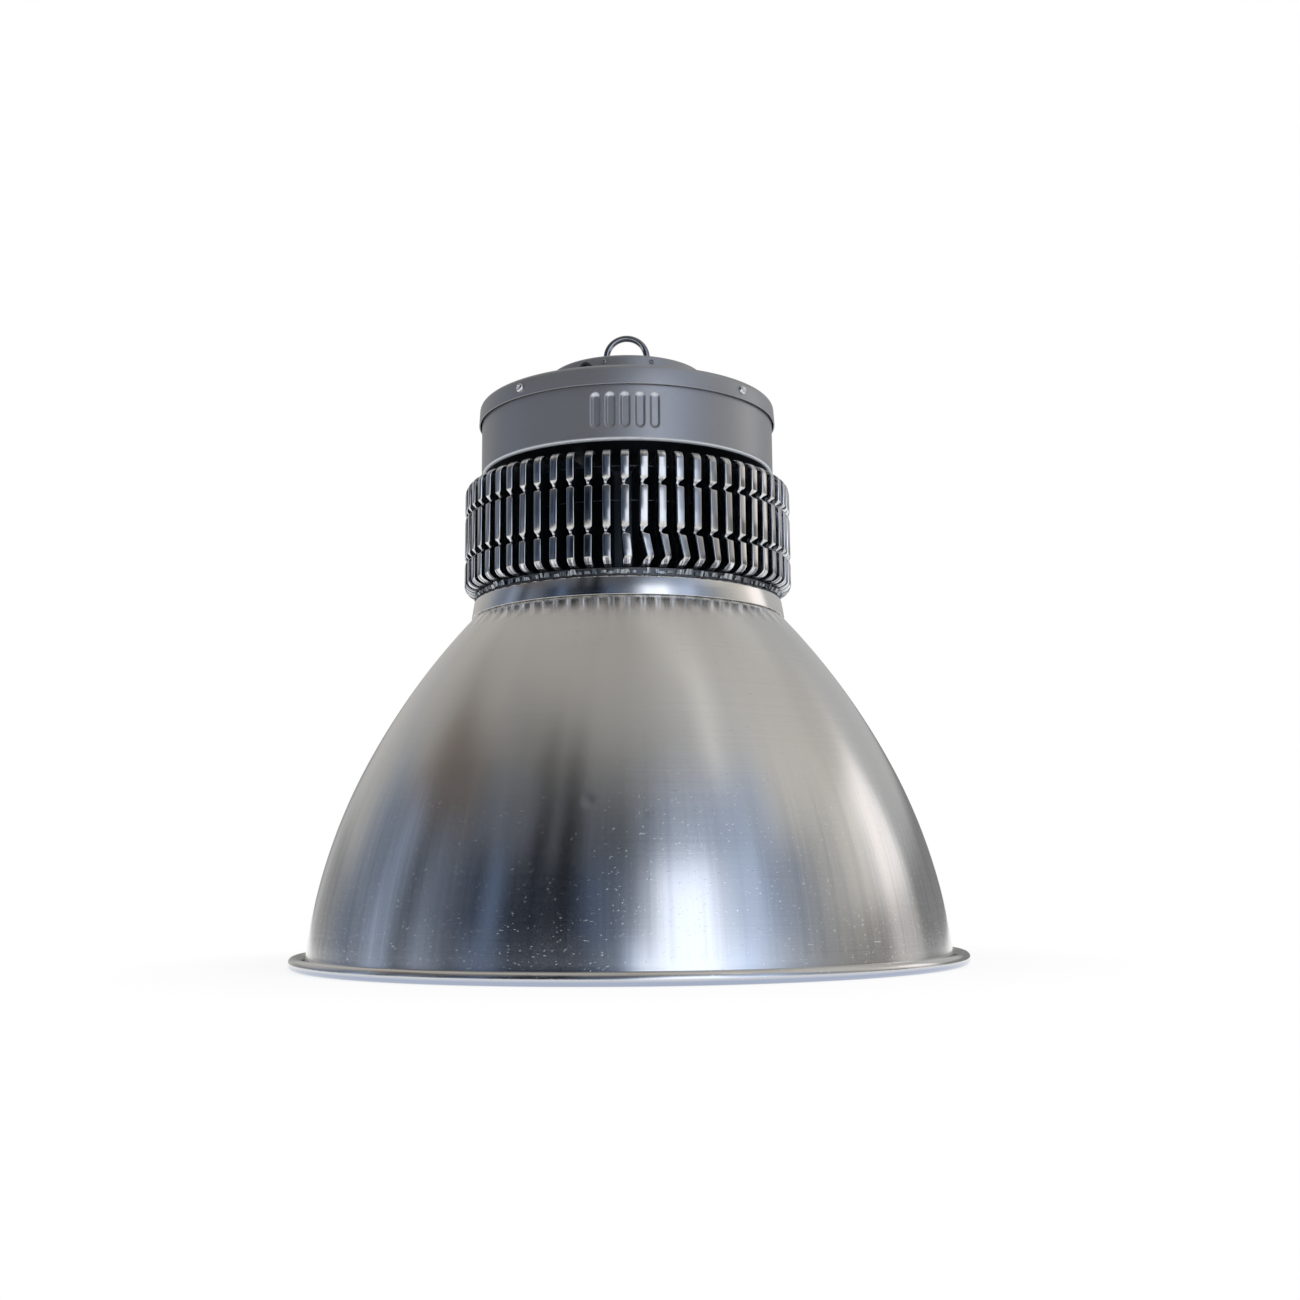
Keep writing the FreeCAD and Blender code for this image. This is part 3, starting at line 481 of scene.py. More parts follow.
def fin_aluminium():
    """Bright stamped sheet with smudges; dark deep between the fins as painted shade, partly the
    matt oxide of the webs, and painted reflection streaks near the feet.
    """
    g = Graph("fin_aluminium")
    grain = g.noise(g.stretched(900, 900, 60), detail=2.0)
    wave = g.noise(g.stretched(120, 120, 90), detail=2.0)
    edge = g.span(g.radius(), FIN_RADIUS - FIN_RUN_IN, FIN_RADIUS - 1.2 * MM, 0.0, 1.0,
                  smooth=True)
    # near black deep between the fins: painted shade, partly the webs' matt oxide
    deep = g.blend(grain, (0.10, 0.13, 0.15), (0.17, 0.21, 0.24))
    bright = g.blend(grain, (0.72, 0.73, 0.75), (0.88, 0.89, 0.91))
    streak = g.noise(g.columns(62, 30), detail=1.0)
    z = g.axes()[2]
    smudge = g.noise(g.columns(34, 14), detail=2.0)
    bright = g.blend(g.span(smudge, 0.46, 0.62, 0.0, 0.45), bright, (0.36, 0.37, 0.40))
    # dark upright streaks near the feet are painted reflection streaks
    foot = g.span(z, FIN_FOOT + 7 * MM, FIN_FOOT + 9 * MM, 1.0, 0.35)
    bright = g.blend(g.times(g.span(streak, 0.46, 0.53, 0.0, 0.90), foot), bright,
                     (0.14, 0.15, 0.18))
    flat = g.span(g.radius(), FIN_RADIUS - 0.4 * MM, FIN_RADIUS - 0.1 * MM, 0.0, 0.75)
    bright = g.blend(flat, bright, g.blend(smudge, (0.50, 0.48, 0.44), (0.66, 0.64, 0.60)))
    rough = g.math("ADD", g.span(edge, 0.0, 1.0, 0.45, 0.12), g.span(grain, 0.3, 0.7, -0.03, 0.05))
    g.set(Base_Color=g.blend(edge, deep, bright), Metallic=1.0, Roughness=rough,
          Normal=g.bump(wave, 0.00022, 0.5))
    return g.material


def silver_paint():
    """Silver-grey coat with a fine fleck and scuffs; painted highlights on the housing's foot and
    the grooves' top ends, and painted shade under the housing.
    """
    g = Graph("silver_paint")
    fleck = g.noise(g.stretched(5200, 5200, 5200), detail=1.0)
    peel = g.noise(g.stretched(900, 900, 900), detail=2.0)
    cloud = g.noise(g.stretched(18, 18, 18))
    scuff = g.noise(g.stretched(160, 160, 900), roughness=0.7)
    colour = g.blend(g.span(fleck, 0.35, 0.65, 0.0, 1.0), (0.275, 0.285, 0.305),
                     (0.375, 0.385, 0.410))
    colour = g.blend(g.span(cloud, 0.35, 0.7, 0.0, 0.25), colour, (0.29, 0.29, 0.30))
    colour = g.blend(g.span(scuff, 0.735, 0.78, 0.0, 0.6), colour, (0.62, 0.62, 0.64))
    z = g.axes()[2]
    foot = HOUSING_LOW[2]
    radius = g.radius()
    # painted highlight: a pale blue-grey, less metallic band along the housing's foot and at the
    # top ends of the grooves
    ring = g.between(z, foot - 0.5 * MM, foot, foot + 1.2 * MM, foot + 1.9 * MM)
    groove_top = HOUSING_HIGH[2] - GROOVE_DROP
    pressed = g.times(
        g.span(radius, HOUSING_RADIUS - 0.5 * MM, HOUSING_RADIUS - 0.2 * MM, 1.0, 0.0),
        g.between(z, groove_top - 3.4 * MM, groove_top - 1.8 * MM, groove_top,
                  groove_top + 0.5 * MM))
    painted_highlight = g.math("MAXIMUM", ring, pressed)
    colour = g.blend(g.times(painted_highlight, 0.9), colour, (0.78, 0.82, 0.88))
    # painted shade: the housing's underside is near black where it hangs over the fins
    under = g.times(g.span(z, foot + 0.1 * MM, foot + 0.4 * MM, 1.0, 0.0),
                    g.span(radius, HOUSING_RADIUS - 2.6 * MM, HOUSING_RADIUS - 1.6 * MM,
                           1.0, 0.0))
    colour = g.blend(under, colour, (0.012, 0.016, 0.020))
    rough = g.span(peel, 0.3, 0.7, 0.33, 0.43)
    g.set(Base_Color=colour, Metallic=g.span(painted_highlight, 0.0, 1.0, 0.78, 0.35), Roughness=rough,
          Normal=g.bump(peel, 0.00003, 0.45))
    return g.material


def chrome():
    """Chromed ring, a little worn."""
    g = Graph("chrome")
    worn = g.noise(g.stretched(220, 220, 220))
    g.set(Base_Color=g.blend(worn, (0.22, 0.23, 0.25), (0.36, 0.37, 0.39)), Metallic=1.0,
          Roughness=g.span(worn, 0.3, 0.7, 0.06, 0.16), Normal=g.bump(worn, 0.00003, 0.3))
    return g.material


def metal(name, dark, light, low, high):
    """Plain metal with a mottled tone and roughness."""
    g = Graph(name)
    mottle = g.noise(g.stretched(260, 260, 260))
    g.set(Base_Color=g.blend(mottle, dark, light), Metallic=1.0,
          Roughness=g.span(mottle, 0.3, 0.7, low, high), Normal=g.bump(mottle, 0.00003, 0.3))
    return g.material


def moulded(name, dark, light, low, high):
    """Plastic, rubber or silicone with a fine grain."""
    g = Graph(name)
    grain = g.noise(g.stretched(700, 700, 700))
    g.set(Base_Color=g.blend(grain, dark, light), Roughness=g.span(grain, 0.3, 0.7, low, high),
          Normal=g.bump(grain, 0.00004, 0.4))
    return g.material


def lens_glass():
    """Clear glass with a faint haze."""
    g = Graph("lens_glass")
    haze = g.noise(g.stretched(90, 90, 90))
    g.set(Base_Color=g.blend(haze, (0.93, 0.96, 0.95), (0.98, 1.0, 0.99)),
          Roughness=g.span(haze, 0.3, 0.7, 0.01, 0.05))
    g.bsdf.inputs["IOR"].default_value = 1.5
    g.bsdf.inputs["Transmission Weight"].default_value = 1.0
    return g.material


MATERIALS = {
    "spun_aluminium": spun_aluminium(),
    "collar_aluminium": turned_aluminium(),
    "fin_aluminium": fin_aluminium(),
    "grey_paint": silver_paint(),
    "chrome": chrome(),
    "zinc_steel": metal("zinc_steel", (0.60, 0.61, 0.63), (0.78, 0.79, 0.81), 0.12, 0.24),
    "driver_shell": metal("driver_shell", (0.55, 0.55, 0.56), (0.68, 0.68, 0.69), 0.30, 0.42),
    "plate_aluminium": metal("plate_aluminium", (0.08, 0.08, 0.085), (0.16, 0.16, 0.165),
                             0.35, 0.5),
    "board_aluminium": metal("board_aluminium", (0.70, 0.70, 0.71), (0.80, 0.80, 0.81),
                             0.28, 0.4),
    "rubber": moulded("rubber", (0.012, 0.012, 0.013), (0.03, 0.03, 0.03), 0.6, 0.8),
    "lead_sheath": moulded("lead_sheath", (0.02, 0.02, 0.02), (0.045, 0.045, 0.045), 0.5, 0.65),
    "silicone": moulded("silicone", (0.66, 0.66, 0.64), (0.76, 0.76, 0.74), 0.45, 0.6),
    "terminal_plastic": moulded("terminal_plastic", (0.72, 0.72, 0.69), (0.80, 0.80, 0.77),
                                0.4, 0.55),
    "phosphor": moulded("phosphor", (0.80, 0.62, 0.12), (0.90, 0.74, 0.22), 0.35, 0.5),
    "clear_glass": lens_glass(),
}


def finish_cad_nodes():
    """Every CAD node gets the material of its slot."""
    slots = {row["node"]: row["material_slot"] for row in frame["record"]["subparts"]}
    for name, obj in frame["nodes"].items():
        obj.data.materials.clear()
        obj.data.materials.append(MATERIALS[slots[name]])


# ---- reflector ----
def dome_arcs():
    """The two tangent arcs of the dome's outside, each as (centre, radius, angle, angle)."""
    head = Vector((NECK_RADIUS, DOME_TOP))
    foot = Vector((RIM_RADIUS - BEAD_DIAMETER - BEAD_CREASE, WALL_FOOT))
    head_way, foot_way = Vector(direction(-NECK_SLOPE)), Vector(direction(FOOT_LEAN - 90))
    across = foot - head
    both = head_way + foot_way
    square = 4 - both.dot(both)
    along = across.dot(both)
    reach = (math.sqrt(along ** 2 + square * across.dot(across)) - along) / square
    join_way = (foot - foot_way * reach) - (head + head_way * reach)
    join_angle = math.degrees(math.atan2(join_way.y, join_way.x)) + 90
    arcs = []
    for start, low in ((head, 90 - NECK_SLOPE), (foot, FOOT_LEAN)):
        radius = reach / math.tan(math.radians(abs(join_angle - low) / 2))
        arcs.append((start - Vector(direction(low)) * radius, radius, low, join_angle))
    return arcs


def dome_side(inset, steps):
    """Points of the meridian from neck to foot, set in from the outside."""
    upper, lower = dome_arcs()
    points = arc_points(upper[0], upper[1] - inset, upper[2], upper[3], steps)
    points += arc_points(lower[0], lower[1] - inset, lower[3], lower[2], steps)[1:]
    return points


def dome_outline():
    """Closed section of the spun sheet: neck flange, wall, gutter and wired bead."""
    bead = BEAD_DIAMETER / 2
    centre = (RIM_RADIUS - bead, bead)
    outer, inner = dome_side(0, 44), dome_side(DOME_SHEET, 30)
    gutter = BEAD_CREASE + 0.4 * MM
    foot_x = outer[-1][0] + 0.2 * MM
    wall_run = [(foot_x, DOME_SHEET + gutter + share * (WALL_FOOT - DOME_SHEET - gutter))
                for share in (0.66, 0.33)]
    hollow = arc_points((foot_x + gutter, DOME_SHEET + gutter), gutter, 180, 262, 8)
    meet = math.degrees(math.asin((bead - DOME_SHEET) / bead))
    roll = arc_points(centre, bead, 180 + meet, -90, 34)
    heel = 2.2 * MM
    inner_x = inner[-1][0] + 0.2 * MM
    toe = arc_points((inner_x + heel, heel), heel, 270, 180, 6)
    fold = inner[0][0] - (inner[0][1] - DOME_TOP + DOME_SHEET) / math.tan(
        math.radians(NECK_SLOPE))
    flange = [(fold, DOME_TOP - DOME_SHEET), (NECK_OPENING, DOME_TOP - DOME_SHEET),
              (NECK_OPENING, DOME_TOP)]
    return outer + wall_run + hollow + roll + toe + inner[::-1] + flange


DOME_WAVES = [
    # how many of them go round, size in mm and start in radians
    (5, 0.10, 0.4), (9, 0.06, 1.9), (14, 0.045, 0.7), (23, 0.022, 2.6), (37, 0.008, 1.1),
]

DOME_DENTS = [
    # angle from the front, height, radius and depth of each small knock
    (-6.0, 106 * MM, 2.5 * MM, 0.50 * MM),
    (3.2, 98 * MM, 2.0 * MM, 0.25 * MM),
    (27.0, 60 * MM, 9.0 * MM, 0.20 * MM),
    (152.0, 80 * MM, 6.0 * MM, 0.30 * MM),
]


def dome_shape(angle, radius, z):
    """Faint waves that spinning leaves along the wall, and the knocks of use."""
    low = smooth_step(DOME_TOP, 0.1, z) * smooth_step(0.004, 0.03, z)
    wave = sum(size * math.cos(count * angle + start) for count, size, start in DOME_WAVES)
    radius += wave * low * MM
    for turn, height, size, depth in DOME_DENTS:
        gap = math.radians(turn)
        side = math.remainder(angle - gap, 2 * math.pi) * radius
        away = math.hypot(side, (z - height) * 1.1) / size
        if away < 3:
            radius -= depth * math.exp(-away * away * 1.5)
    return radius, z


def make_reflector():
    """Spun dome in one sheet."""
    dome = lathe("spun_reflector", dome_outline(), DOME_SEGMENTS, MATERIALS["spun_aluminium"],
                 shape=dome_shape, sharp=50)
    dress(dome, "spun_aluminium", "reflector")


# ---- collar ----
def make_collar():
    """Turned ring with a rounded upper corner and the seat of the lens inside."""
    foot, head = COLLAR_LOW[2], COLLAR_HIGH[2]
    ledge = foot + LENS_LEDGE
    outline = rounded([
        (COLLAR_BORE, foot, 0.2 * MM), (COLLAR_HIGH[0], foot, 0.25 * MM),
        (COLLAR_HIGH[0] - COLLAR_CORNER, head, COLLAR_CORNER), (LENS_SEAT, head, 0.2 * MM),
        (LENS_SEAT, ledge, 0), (COLLAR_BORE, ledge, 0.2 * MM)], 5)
    collar = lathe("turned_collar", outline, 360, MATERIALS["collar_aluminium"])
    dress(collar, "collar_aluminium", "collar")


# ---- heat sink ----
NOTCH_SHAPE = [
    # height from the notch's middle in mm, share of its depth, share of its cut in the flange
    (-3.0, 0.0, 0), (-2.5, 0.05, 0.05), (-1.5, 0.42, 0.5), (-0.7, 0.86, 0.95), (-0.2, 1.0, 1),
    (0.4, 0.97, 1), (1.3, 0.66, 0.62), (2.3, 0.28, 0.22), (3.0, 0.06, 0.02), (3.5, 0.0, 0),
]

# the fins at the lower front right that a knock pushed aside: by how many mm and degrees
FIN_KNOCKS = (2.0, 4.8, 4.0, 4.2, 3.3, 2.5, 1.4, 0.7)
FIN_TURNS = (-4, -19, -24, -14, -12, -8, -4, 0)

# how unevenly the fins stand: sideways lean for each mm of height, and twist in degrees
FIN_LEAN_SPREAD = 0.012
FIN_TWIST_SPREAD = 2.2


def fin_path():
    """Edge of a fin from foot to head as (radius, z, cut): cut is 1 at a notch's centre."""
    path = [(FIN_RADIUS - FIN_RUN_IN, FIN_FOOT + 0.2 * MM, 0)]
    for x, z in arc_points((FIN_RADIUS - FIN_FOOT_CORNER, 0), FIN_FOOT_CORNER, -90, 0, 8):
        path.append((x, FIN_FOOT + FIN_FOOT_SQUEEZE * (FIN_FOOT_CORNER + z), 0))
    for notch in (FIN_MIDDLE - NOTCH_SPACING / 2, FIN_MIDDLE + NOTCH_SPACING / 2):
        for step, depth, cut in NOTCH_SHAPE:
            path.append((FIN_RADIUS - depth * NOTCH_DEPTH, notch + step * MM, cut))
    centre = (FIN_RADIUS - FIN_HEAD_CORNER, FIN_TOP - FIN_HEAD_CORNER)
    path += [(x, z, 0) for x, z in arc_points(centre, FIN_HEAD_CORNER, 0, 90, 8)]
    return path + [(FIN_RADIUS - FIN_RUN_IN, FIN_TOP, 0)]


def fin_section(cut):
    """Section of the folded sheet as (across, depth): flat face between rolled edges."""
    left = -FIN_FLANGE / 2 + cut * NOTCH_CUT_LEFT
    right = FIN_FLANGE / 2 - cut * NOTCH_CUT_RIGHT
    web = -FIN_FLANGE / 2
    rows = ((left, 1.1), (left + 0.10 * MM, 0.55), (left + 0.38 * MM, 0.20),
            (left + 0.75 * MM, 0.02), (left + 0.85 * MM, 0.0), (right - 0.60 * MM, 0.0),
            (right - 0.53 * MM, 0.02), (right - 0.30 * MM, 0.13), (right - 0.09 * MM, 0.40),
            (right, 0.9), (right - 0.55 * MM, 1.45), (right - 1.5 * MM, 0.85),
            (left + 1.3 * MM, 0.8), (web + FIN_SHEET, 1.3), (web + FIN_SHEET, 3.2))
    return [(web, 3.2 * MM)] + [(across, depth * MM) for across, depth in rows]


def fin_knock(index, z):
    """Share of the knock at a height: nothing over the lower notch, most near the foot."""
    notch = FIN_MIDDLE - NOTCH_SPACING / 2
    if index >= len(FIN_KNOCKS) or z > notch:
        return 0.0
    down = (notch - z) / (notch - FIN_FOOT)
    return math.sin(min(down / 0.72, 1.0) * math.pi / 2) - 0.6 * smooth_step(0.70, 1.0, down)


def add_fin(index, path, vertices, faces):
    """One stamped fin: the folded flange swept along its edge, and the web behind it."""
    angle = 2 * math.pi * index / FIN_COUNT
    chance = (random.uniform(-1, 1), random.uniform(-1, 1))
    start = len(vertices)
    width = len(fin_section(0))
    last = len(path) - 1
    left = -FIN_FLANGE / 2
    web_line = []
    for i, (radius, z, cut) in enumerate(path):
        before, after = path[max(i - 1, 0)], path[min(i + 1, last)]
        way = Vector((after[0] - before[0], after[1] - before[1])).normalized()
        inward = Vector((-way.y, way.x))
        share = fin_knock(index, z)
        shift = chance[0] * (z - FIN_MIDDLE) * FIN_LEAN_SPREAD
        twist = chance[1] * math.radians(FIN_TWIST_SPREAD)
        if share:
            shift += FIN_KNOCKS[index] * MM * share
            twist += math.radians(FIN_TURNS[index]) * min(share * 1.4, 1.0)
        for across, depth in fin_section(cut):
            reach = radius + inward.x * depth + across * math.sin(twist)
            side = across * math.cos(twist) + shift
            vertices.append(at(angle, reach, side, z + inward.y * depth))
        web_line.append((radius + inward.x * 3.1 * MM + left * math.sin(twist),
                         z + inward.y * 3.1 * MM, shift + left * (math.cos(twist) - 1)))
    faces += quads(len(path), width, start, False, False)
    for end in (start, start + last * width):
        faces.append(tuple(end + j for j in range(width)))
    base = len(vertices)
    root = CORE_RADIUS - 0.5 * MM
    for side in (left + 0.02 * MM, left + FIN_SHEET - 0.02 * MM):
        for radius, z, shift in web_line:
            vertices += [at(angle, radius, side + shift, z), at(angle, root, side, z)]
    run = len(web_line) * 2
    for side in (0, run):
        faces += quads(len(web_line), 2, base + side, False, False)
    for i in (0, run - 2):
        faces.append((base + i, base + i + 1, base + run + i + 1, base + run + i))


def foot_tabs():
    """Small crimped tabs under the fins, each one leaning a little its own way."""
    sides = ((0, 1, 2, 3), (7, 6, 5, 4), (0, 4, 5, 1), (1, 5, 6, 2), (2, 6, 7, 3), (3, 7, 4, 0))
    vertices, faces = [], []
    for index in range(TAB_COUNT):
        angle = 2 * math.pi * (index + random.uniform(0.1, 0.9)) / TAB_COUNT
        low = PLATE_LOW[2] + random.uniform(0.6, 1.4) * MM
        high = low + random.uniform(1.6, 3.6) * MM
        half = random.uniform(1.2, 2.9) * MM
        slant = random.uniform(-0.9, 0.9) * MM
        lean = random.choice((0.15, 0.5, 1.0, 1.5)) * MM
        turn = random.uniform(-0.45, 0.45)
        start = len(vertices)
        for depth in (0.0, TAB_SHEET):
            for across, z, out in ((-half, low, 0), (half, low, 0),
                                   (half * 0.75 + slant, high, lean),
                                   (-half * 0.65 + slant, high, lean)):
                reach = TAB_RADIUS - depth + out + across * turn * 0.4
                vertices.append(at(angle, reach, across, z))
        faces += [tuple(start + corner for corner in side) for side in sides]
    return mesh_object("foot_tabs", vertices, faces, MATERIALS["fin_aluminium"], sharp=30)


def make_heat_sink():
    """Core and fins, with the thin locking rings that show deep between them."""
    random.seed(11)
    vertices, faces = [], []
    path = fin_path()
    for index in range(FIN_COUNT):
        add_fin(index, path, vertices, faces)
    fins = mesh_object("stamped_fins", vertices, faces, MATERIALS["fin_aluminium"], sharp=38)
    core = lathe("core", rounded([
        (CORE_BORE, SINK_LOW[2], 0), (CORE_RADIUS, SINK_LOW[2], 0.4 * MM),
        (CORE_RADIUS, FIN_TOP, 0.6 * MM), (CORE_BORE, FIN_TOP, 0)], 2), 120,
        MATERIALS["fin_aluminium"])
    parts = [fins, core]
    inner, outer = LOCKING_RING_RADIUS, LOCKING_RING_RADIUS + LOCKING_RING_WIDTH
    for drop in LOCKING_RING_DROPS:
        low, high = FIN_TOP - drop, FIN_TOP - drop + LOCKING_RING_SHEET
        parts.append(lathe("locking_ring", [(inner, low), (outer, low), (outer, high),
                                            (inner, high)], 180, MATERIALS["fin_aluminium"]))
    parts.append(foot_tabs())
    dress(joined("finned_heat_sink", parts), "fin_aluminium", "heat_sink")


# ---- driver housing ----
def groove_depth(across, along):
    """How far the wall is pressed in at a place on it."""
    half_row = (GROOVE_COUNT - 1) / 2
    index = min(max(round(across / GROOVE_PITCH + half_row), 0), GROOVE_COUNT - 1) - half_row
    side = across - index * GROOVE_PITCH
    mouth = GROOVE_WIDTH / 2
    inside = mouth - math.hypot(side, max(abs(along) - (GROOVE_HEIGHT / 2 - mouth), 0.0))
    if inside <= 0:
        return 0.0
    floor = (GROOVE_WIDTH - GROOVE_LEFT_SLOPE - GROOVE_RIGHT_SLOPE) / 2
    middle = (GROOVE_LEFT_SLOPE - GROOVE_RIGHT_SLOPE) / 2
    run = GROOVE_HEIGHT / 2 - GROOVE_END_SLOPE - floor
    outside = max(math.hypot(side - middle, max(abs(along) - run, 0.0)) - floor, 0.0)
    return GROOVE_DEPTH * smooth_step(0.0, 1.0, inside / (inside + outside))


def housing_skin(base, fine_columns, fine_rows, coarse):
    """Skin of the housing wall at a radius, fine where the grooves are pressed."""
    top, foot = HOUSING_HIGH[2], HOUSING_LOW[2] + HOUSING_CORNER
    centre = top - GROOVE_DROP - GROOVE_HEIGHT / 2
    reach = GROOVE_COUNT / 2 * GROOVE_PITCH
    angles = [(2 * i / fine_columns - 1) * reach / HOUSING_RADIUS
              for i in range(fine_columns + 1)]
    rest = 2 * math.pi - 2 * angles[-1]
    angles += [angles[-1] + rest * i / coarse for i in range(1, coarse)]
    half = GROOVE_HEIGHT / 2 + 0.5 * MM
    levels = [foot, foot + 1.5 * MM]
    levels += [centre - half + 2 * half * i / fine_rows for i in range(fine_rows + 1)]
    levels += [centre + half + (top - centre - half) * i / 3 for i in range(1, 4)]
    vertices = []
    for angle in angles:
        across = math.remainder(angle, 2 * math.pi) * HOUSING_RADIUS
        for z in levels:
            radius = base
            if abs(across) < reach and abs(z - centre) < half:
                radius -= groove_depth(across, z - centre)
            vertices.append(at(angle, radius, 0, z))
    faces = quads(len(angles), len(levels), loop_count=False)
    return mesh_object("housing_skin", vertices, faces, MATERIALS["grey_paint"], sharp=70)


def make_housing():
    """Drawn cup: grooved wall, rounded foot, floor and inner skin."""
    foot, top = HOUSING_LOW[2], HOUSING_HIGH[2]
    sheet, corner = HOUSING_SHEET, HOUSING_CORNER
    inner, middle = HOUSING_RADIUS - sheet, 60.0 * MM
    run = arc_points((HOUSING_RADIUS - corner, foot + corner), corner, 0, -90, 8)
    run += [(middle, foot), (LEAD_HOLE_RADIUS, foot), (LEAD_HOLE_RADIUS, foot + sheet),
            (middle, foot + sheet), (inner - 1.5 * MM, foot + sheet),
            (inner - 0.4 * MM, foot + sheet + 0.4 * MM), (inner, foot + corner)]
    parts = [housing_skin(HOUSING_RADIUS, 208, 84, 150), housing_skin(inner, 80, 30, 100)]
    for outline in (run, [(inner, top), (HOUSING_RADIUS, top)]):
        parts.append(lathe("band", outline, 240, MATERIALS["grey_paint"], closed=False))
    dress(joined("grooved_housing", parts), "grey_paint", "driver_housing")


# ---- top cover ----
def make_cover():
    """Drawn lid with a rolled lip, a flat shoulder and the boss."""
    lip, boss_top = COVER_LOW[2], COVER_HIGH[2]
    top = lip + COVER_SKIRT
    sheet = COVER_SHEET
    outline = rounded([
        (COVER_LIP_RADIUS, lip, 0.4 * MM), (COVER_HEAD_RADIUS, top, 3.6 * MM),
        (BOSS_FOOT_RADIUS, top, 1.6 * MM), (BOSS_HEAD_RADIUS, boss_top, BOSS_CORNER),
        (EYE_HOLE_RADIUS, boss_top, 0), (EYE_HOLE_RADIUS, boss_top - sheet, 0),
        (BOSS_HEAD_RADIUS - sheet, boss_top - sheet, 1.5 * MM),
        (BOSS_FOOT_RADIUS - sheet, top - sheet, 0),
        (COVER_HEAD_RADIUS - sheet, top - sheet, 2.6 * MM),
        (COVER_LIP_RADIUS - sheet, lip, 0.3 * MM)], 7)
    cover = lathe("drawn_cover", outline, 360, MATERIALS["grey_paint"])
    dress(cover, "grey_paint", "top_cover")


# ---- fasteners ----
def recessed_head(radius, height, angle, seat, z, turn):
    """Pan head with a cross recess, seated on a radius and turned about its own axis."""
    rings, spokes = 16, 56
    wing, reach = 0.17 * radius, 0.62 * radius
    vertices = []
    for i in range(rings + 1):
        share = i / rings
        for j in range(spokes):
            spoke = 2 * math.pi * j / spokes
            x, y = radius * share * math.cos(spoke), radius * share * math.sin(spoke)
            crown = height * (1 - share ** 4) ** 0.5 if share < 1 else 0.0
            for a, b in ((x, y), (y, x)):
                if abs(a) < reach:
                    cut = 1 - smooth_step(wing * 0.6, wing * 1.3, abs(b))
                    fade = 1 - smooth_step(reach * 0.6, reach, abs(a))
                    crown -= 0.42 * height * cut * fade
            across = x * math.cos(turn) - y * math.sin(turn)
            up = x * math.sin(turn) + y * math.cos(turn)
            vertices.append(at(angle, seat + max(crown, 0.0), across, z + up))
    faces = quads(rings + 1, spokes, loop_rows=False)
    return mesh_object("head", vertices, faces, MATERIALS["zinc_steel"], sharp=60)


def shank(radius, start, end, angle, z):
    """Threaded shank along a radius, its thread as a row of ridges."""
    steps = int((end - start) / SCREW_PITCH * 2)
    outline = [(radius if i % 2 else radius - SCREW_THREAD_DEPTH,
                start + (end - start) * i / steps) for i in range(steps + 1)]
    return radial_lathe("shank", outline, angle, z, 20, MATERIALS["zinc_steel"], 60, capped=True)


def make_cover_screws():
    """The four pan-head screws in the skirt of the cover."""
    z = (SCREWS_LOW[2] + SCREWS_HIGH[2]) / 2
    seat = COVER_LIP_RADIUS - 0.15 * MM
    parts = []
    for i in range(4):
        angle = math.radians(SCREW_FIRST_ANGLE) + i * math.pi / 2
        parts.append(recessed_head(SCREW_HEAD_RADIUS, SCREW_HEAD_HEIGHT, angle, seat, z,
                                   0.5 + 1.1 * i))
        parts.append(shank(SCREW_SHANK_RADIUS, seat - SCREW_SHANK_LENGTH, seat + 0.2 * MM,
                           angle, z))
    dress(joined("cross_head_screws", parts), "zinc_steel", "cover_screws")


def make_boss_rivets():
    """Painted blind rivets: a low flange round a hollow centre."""
    z, low = RIVETS_LOW[2] + RIVET_FLANGE_RADIUS, BOSS_HEAD_RADIUS
    share = (COVER_HIGH[2] - z) / (COVER_HIGH[2] - COVER_LOW[2] - COVER_SKIRT)
    seat = low + (BOSS_FOOT_RADIUS - low) * share + 0.16 * MM
    sizes = ((0.0, -0.5), (0.95, -0.5), (0.95, 0.62), (1.15, 0.8), (1.5, 0.62), (1.85, 0.25),
             (1.9, 0.0), (1.3, 0.0), (1.3, -3.2), (0.0, -3.2))
    outline = [(size * MM, seat + out * MM) for size, out in sizes]
    rivets = [radial_lathe("rivet", outline, math.radians(turn), z, 28,
                           MATERIALS["grey_paint"], 50) for turn in RIVET_ANGLES]
    dress(joined("blind_rivets", rivets), "grey_paint", "boss_rivets")


# ---- suspension eye ----
def make_eye():
    """Forged ring on a flanged shank."""
    wire = EYE_WIRE / 2
    middle = EYE_DIAMETER / 2 - wire
    centre = EYE_HIGH[2] - EYE_DIAMETER / 2
    around, about = 160, 28
    vertices = []
    for i in range(around):
        turn = 2 * math.pi * i / around
        for j in range(about):
            spin = 2 * math.pi * j / about
            reach = middle + wire * math.cos(spin)
            vertices.append((reach * math.cos(turn), wire * math.sin(spin),
                             centre + reach * math.sin(turn)))
    ring = mesh_object("ring", vertices, quads(around, about), MATERIALS["chrome"])
    end, seat = EYE_LOW[2], COVER_HIGH[2]
    outline = rounded([
        (0.01 * MM, end, 0), (3.4 * MM, end, 0), (4.0 * MM, end + 0.8 * MM, 0),
        (4.0 * MM, seat, 0), (8.0 * MM, seat, 0.3 * MM), (7.6 * MM, seat + 1.4 * MM, 0.6 * MM),
        (3.6 * MM, seat + 1.9 * MM, 0.5 * MM), (0.01 * MM, seat + 2.4 * MM, 0)], 4)
    foot = lathe("foot", outline, 72, MATERIALS["chrome"])
    dress(joined("forged_eye", [ring, foot]), "chrome", "suspension_eye")


# ---- studio ----
WALL_RADIUS = 6.0
FLOOR_RADIUS = 9.0
FLOOR_DROP = 0.2 * MM

TINTS = {
    "plain": (1.0, 1.0, 1.0),
    "warm": (1.04, 1.0, 0.94),
    "pink": (1.05, 0.98, 0.96),
    "brown": (1.16, 0.97, 0.86),
    "cool": (0.91, 0.99, 1.16),
    "blue": (0.82, 0.98, 1.30),
    "navy": (0.66, 0.94, 1.55),
}

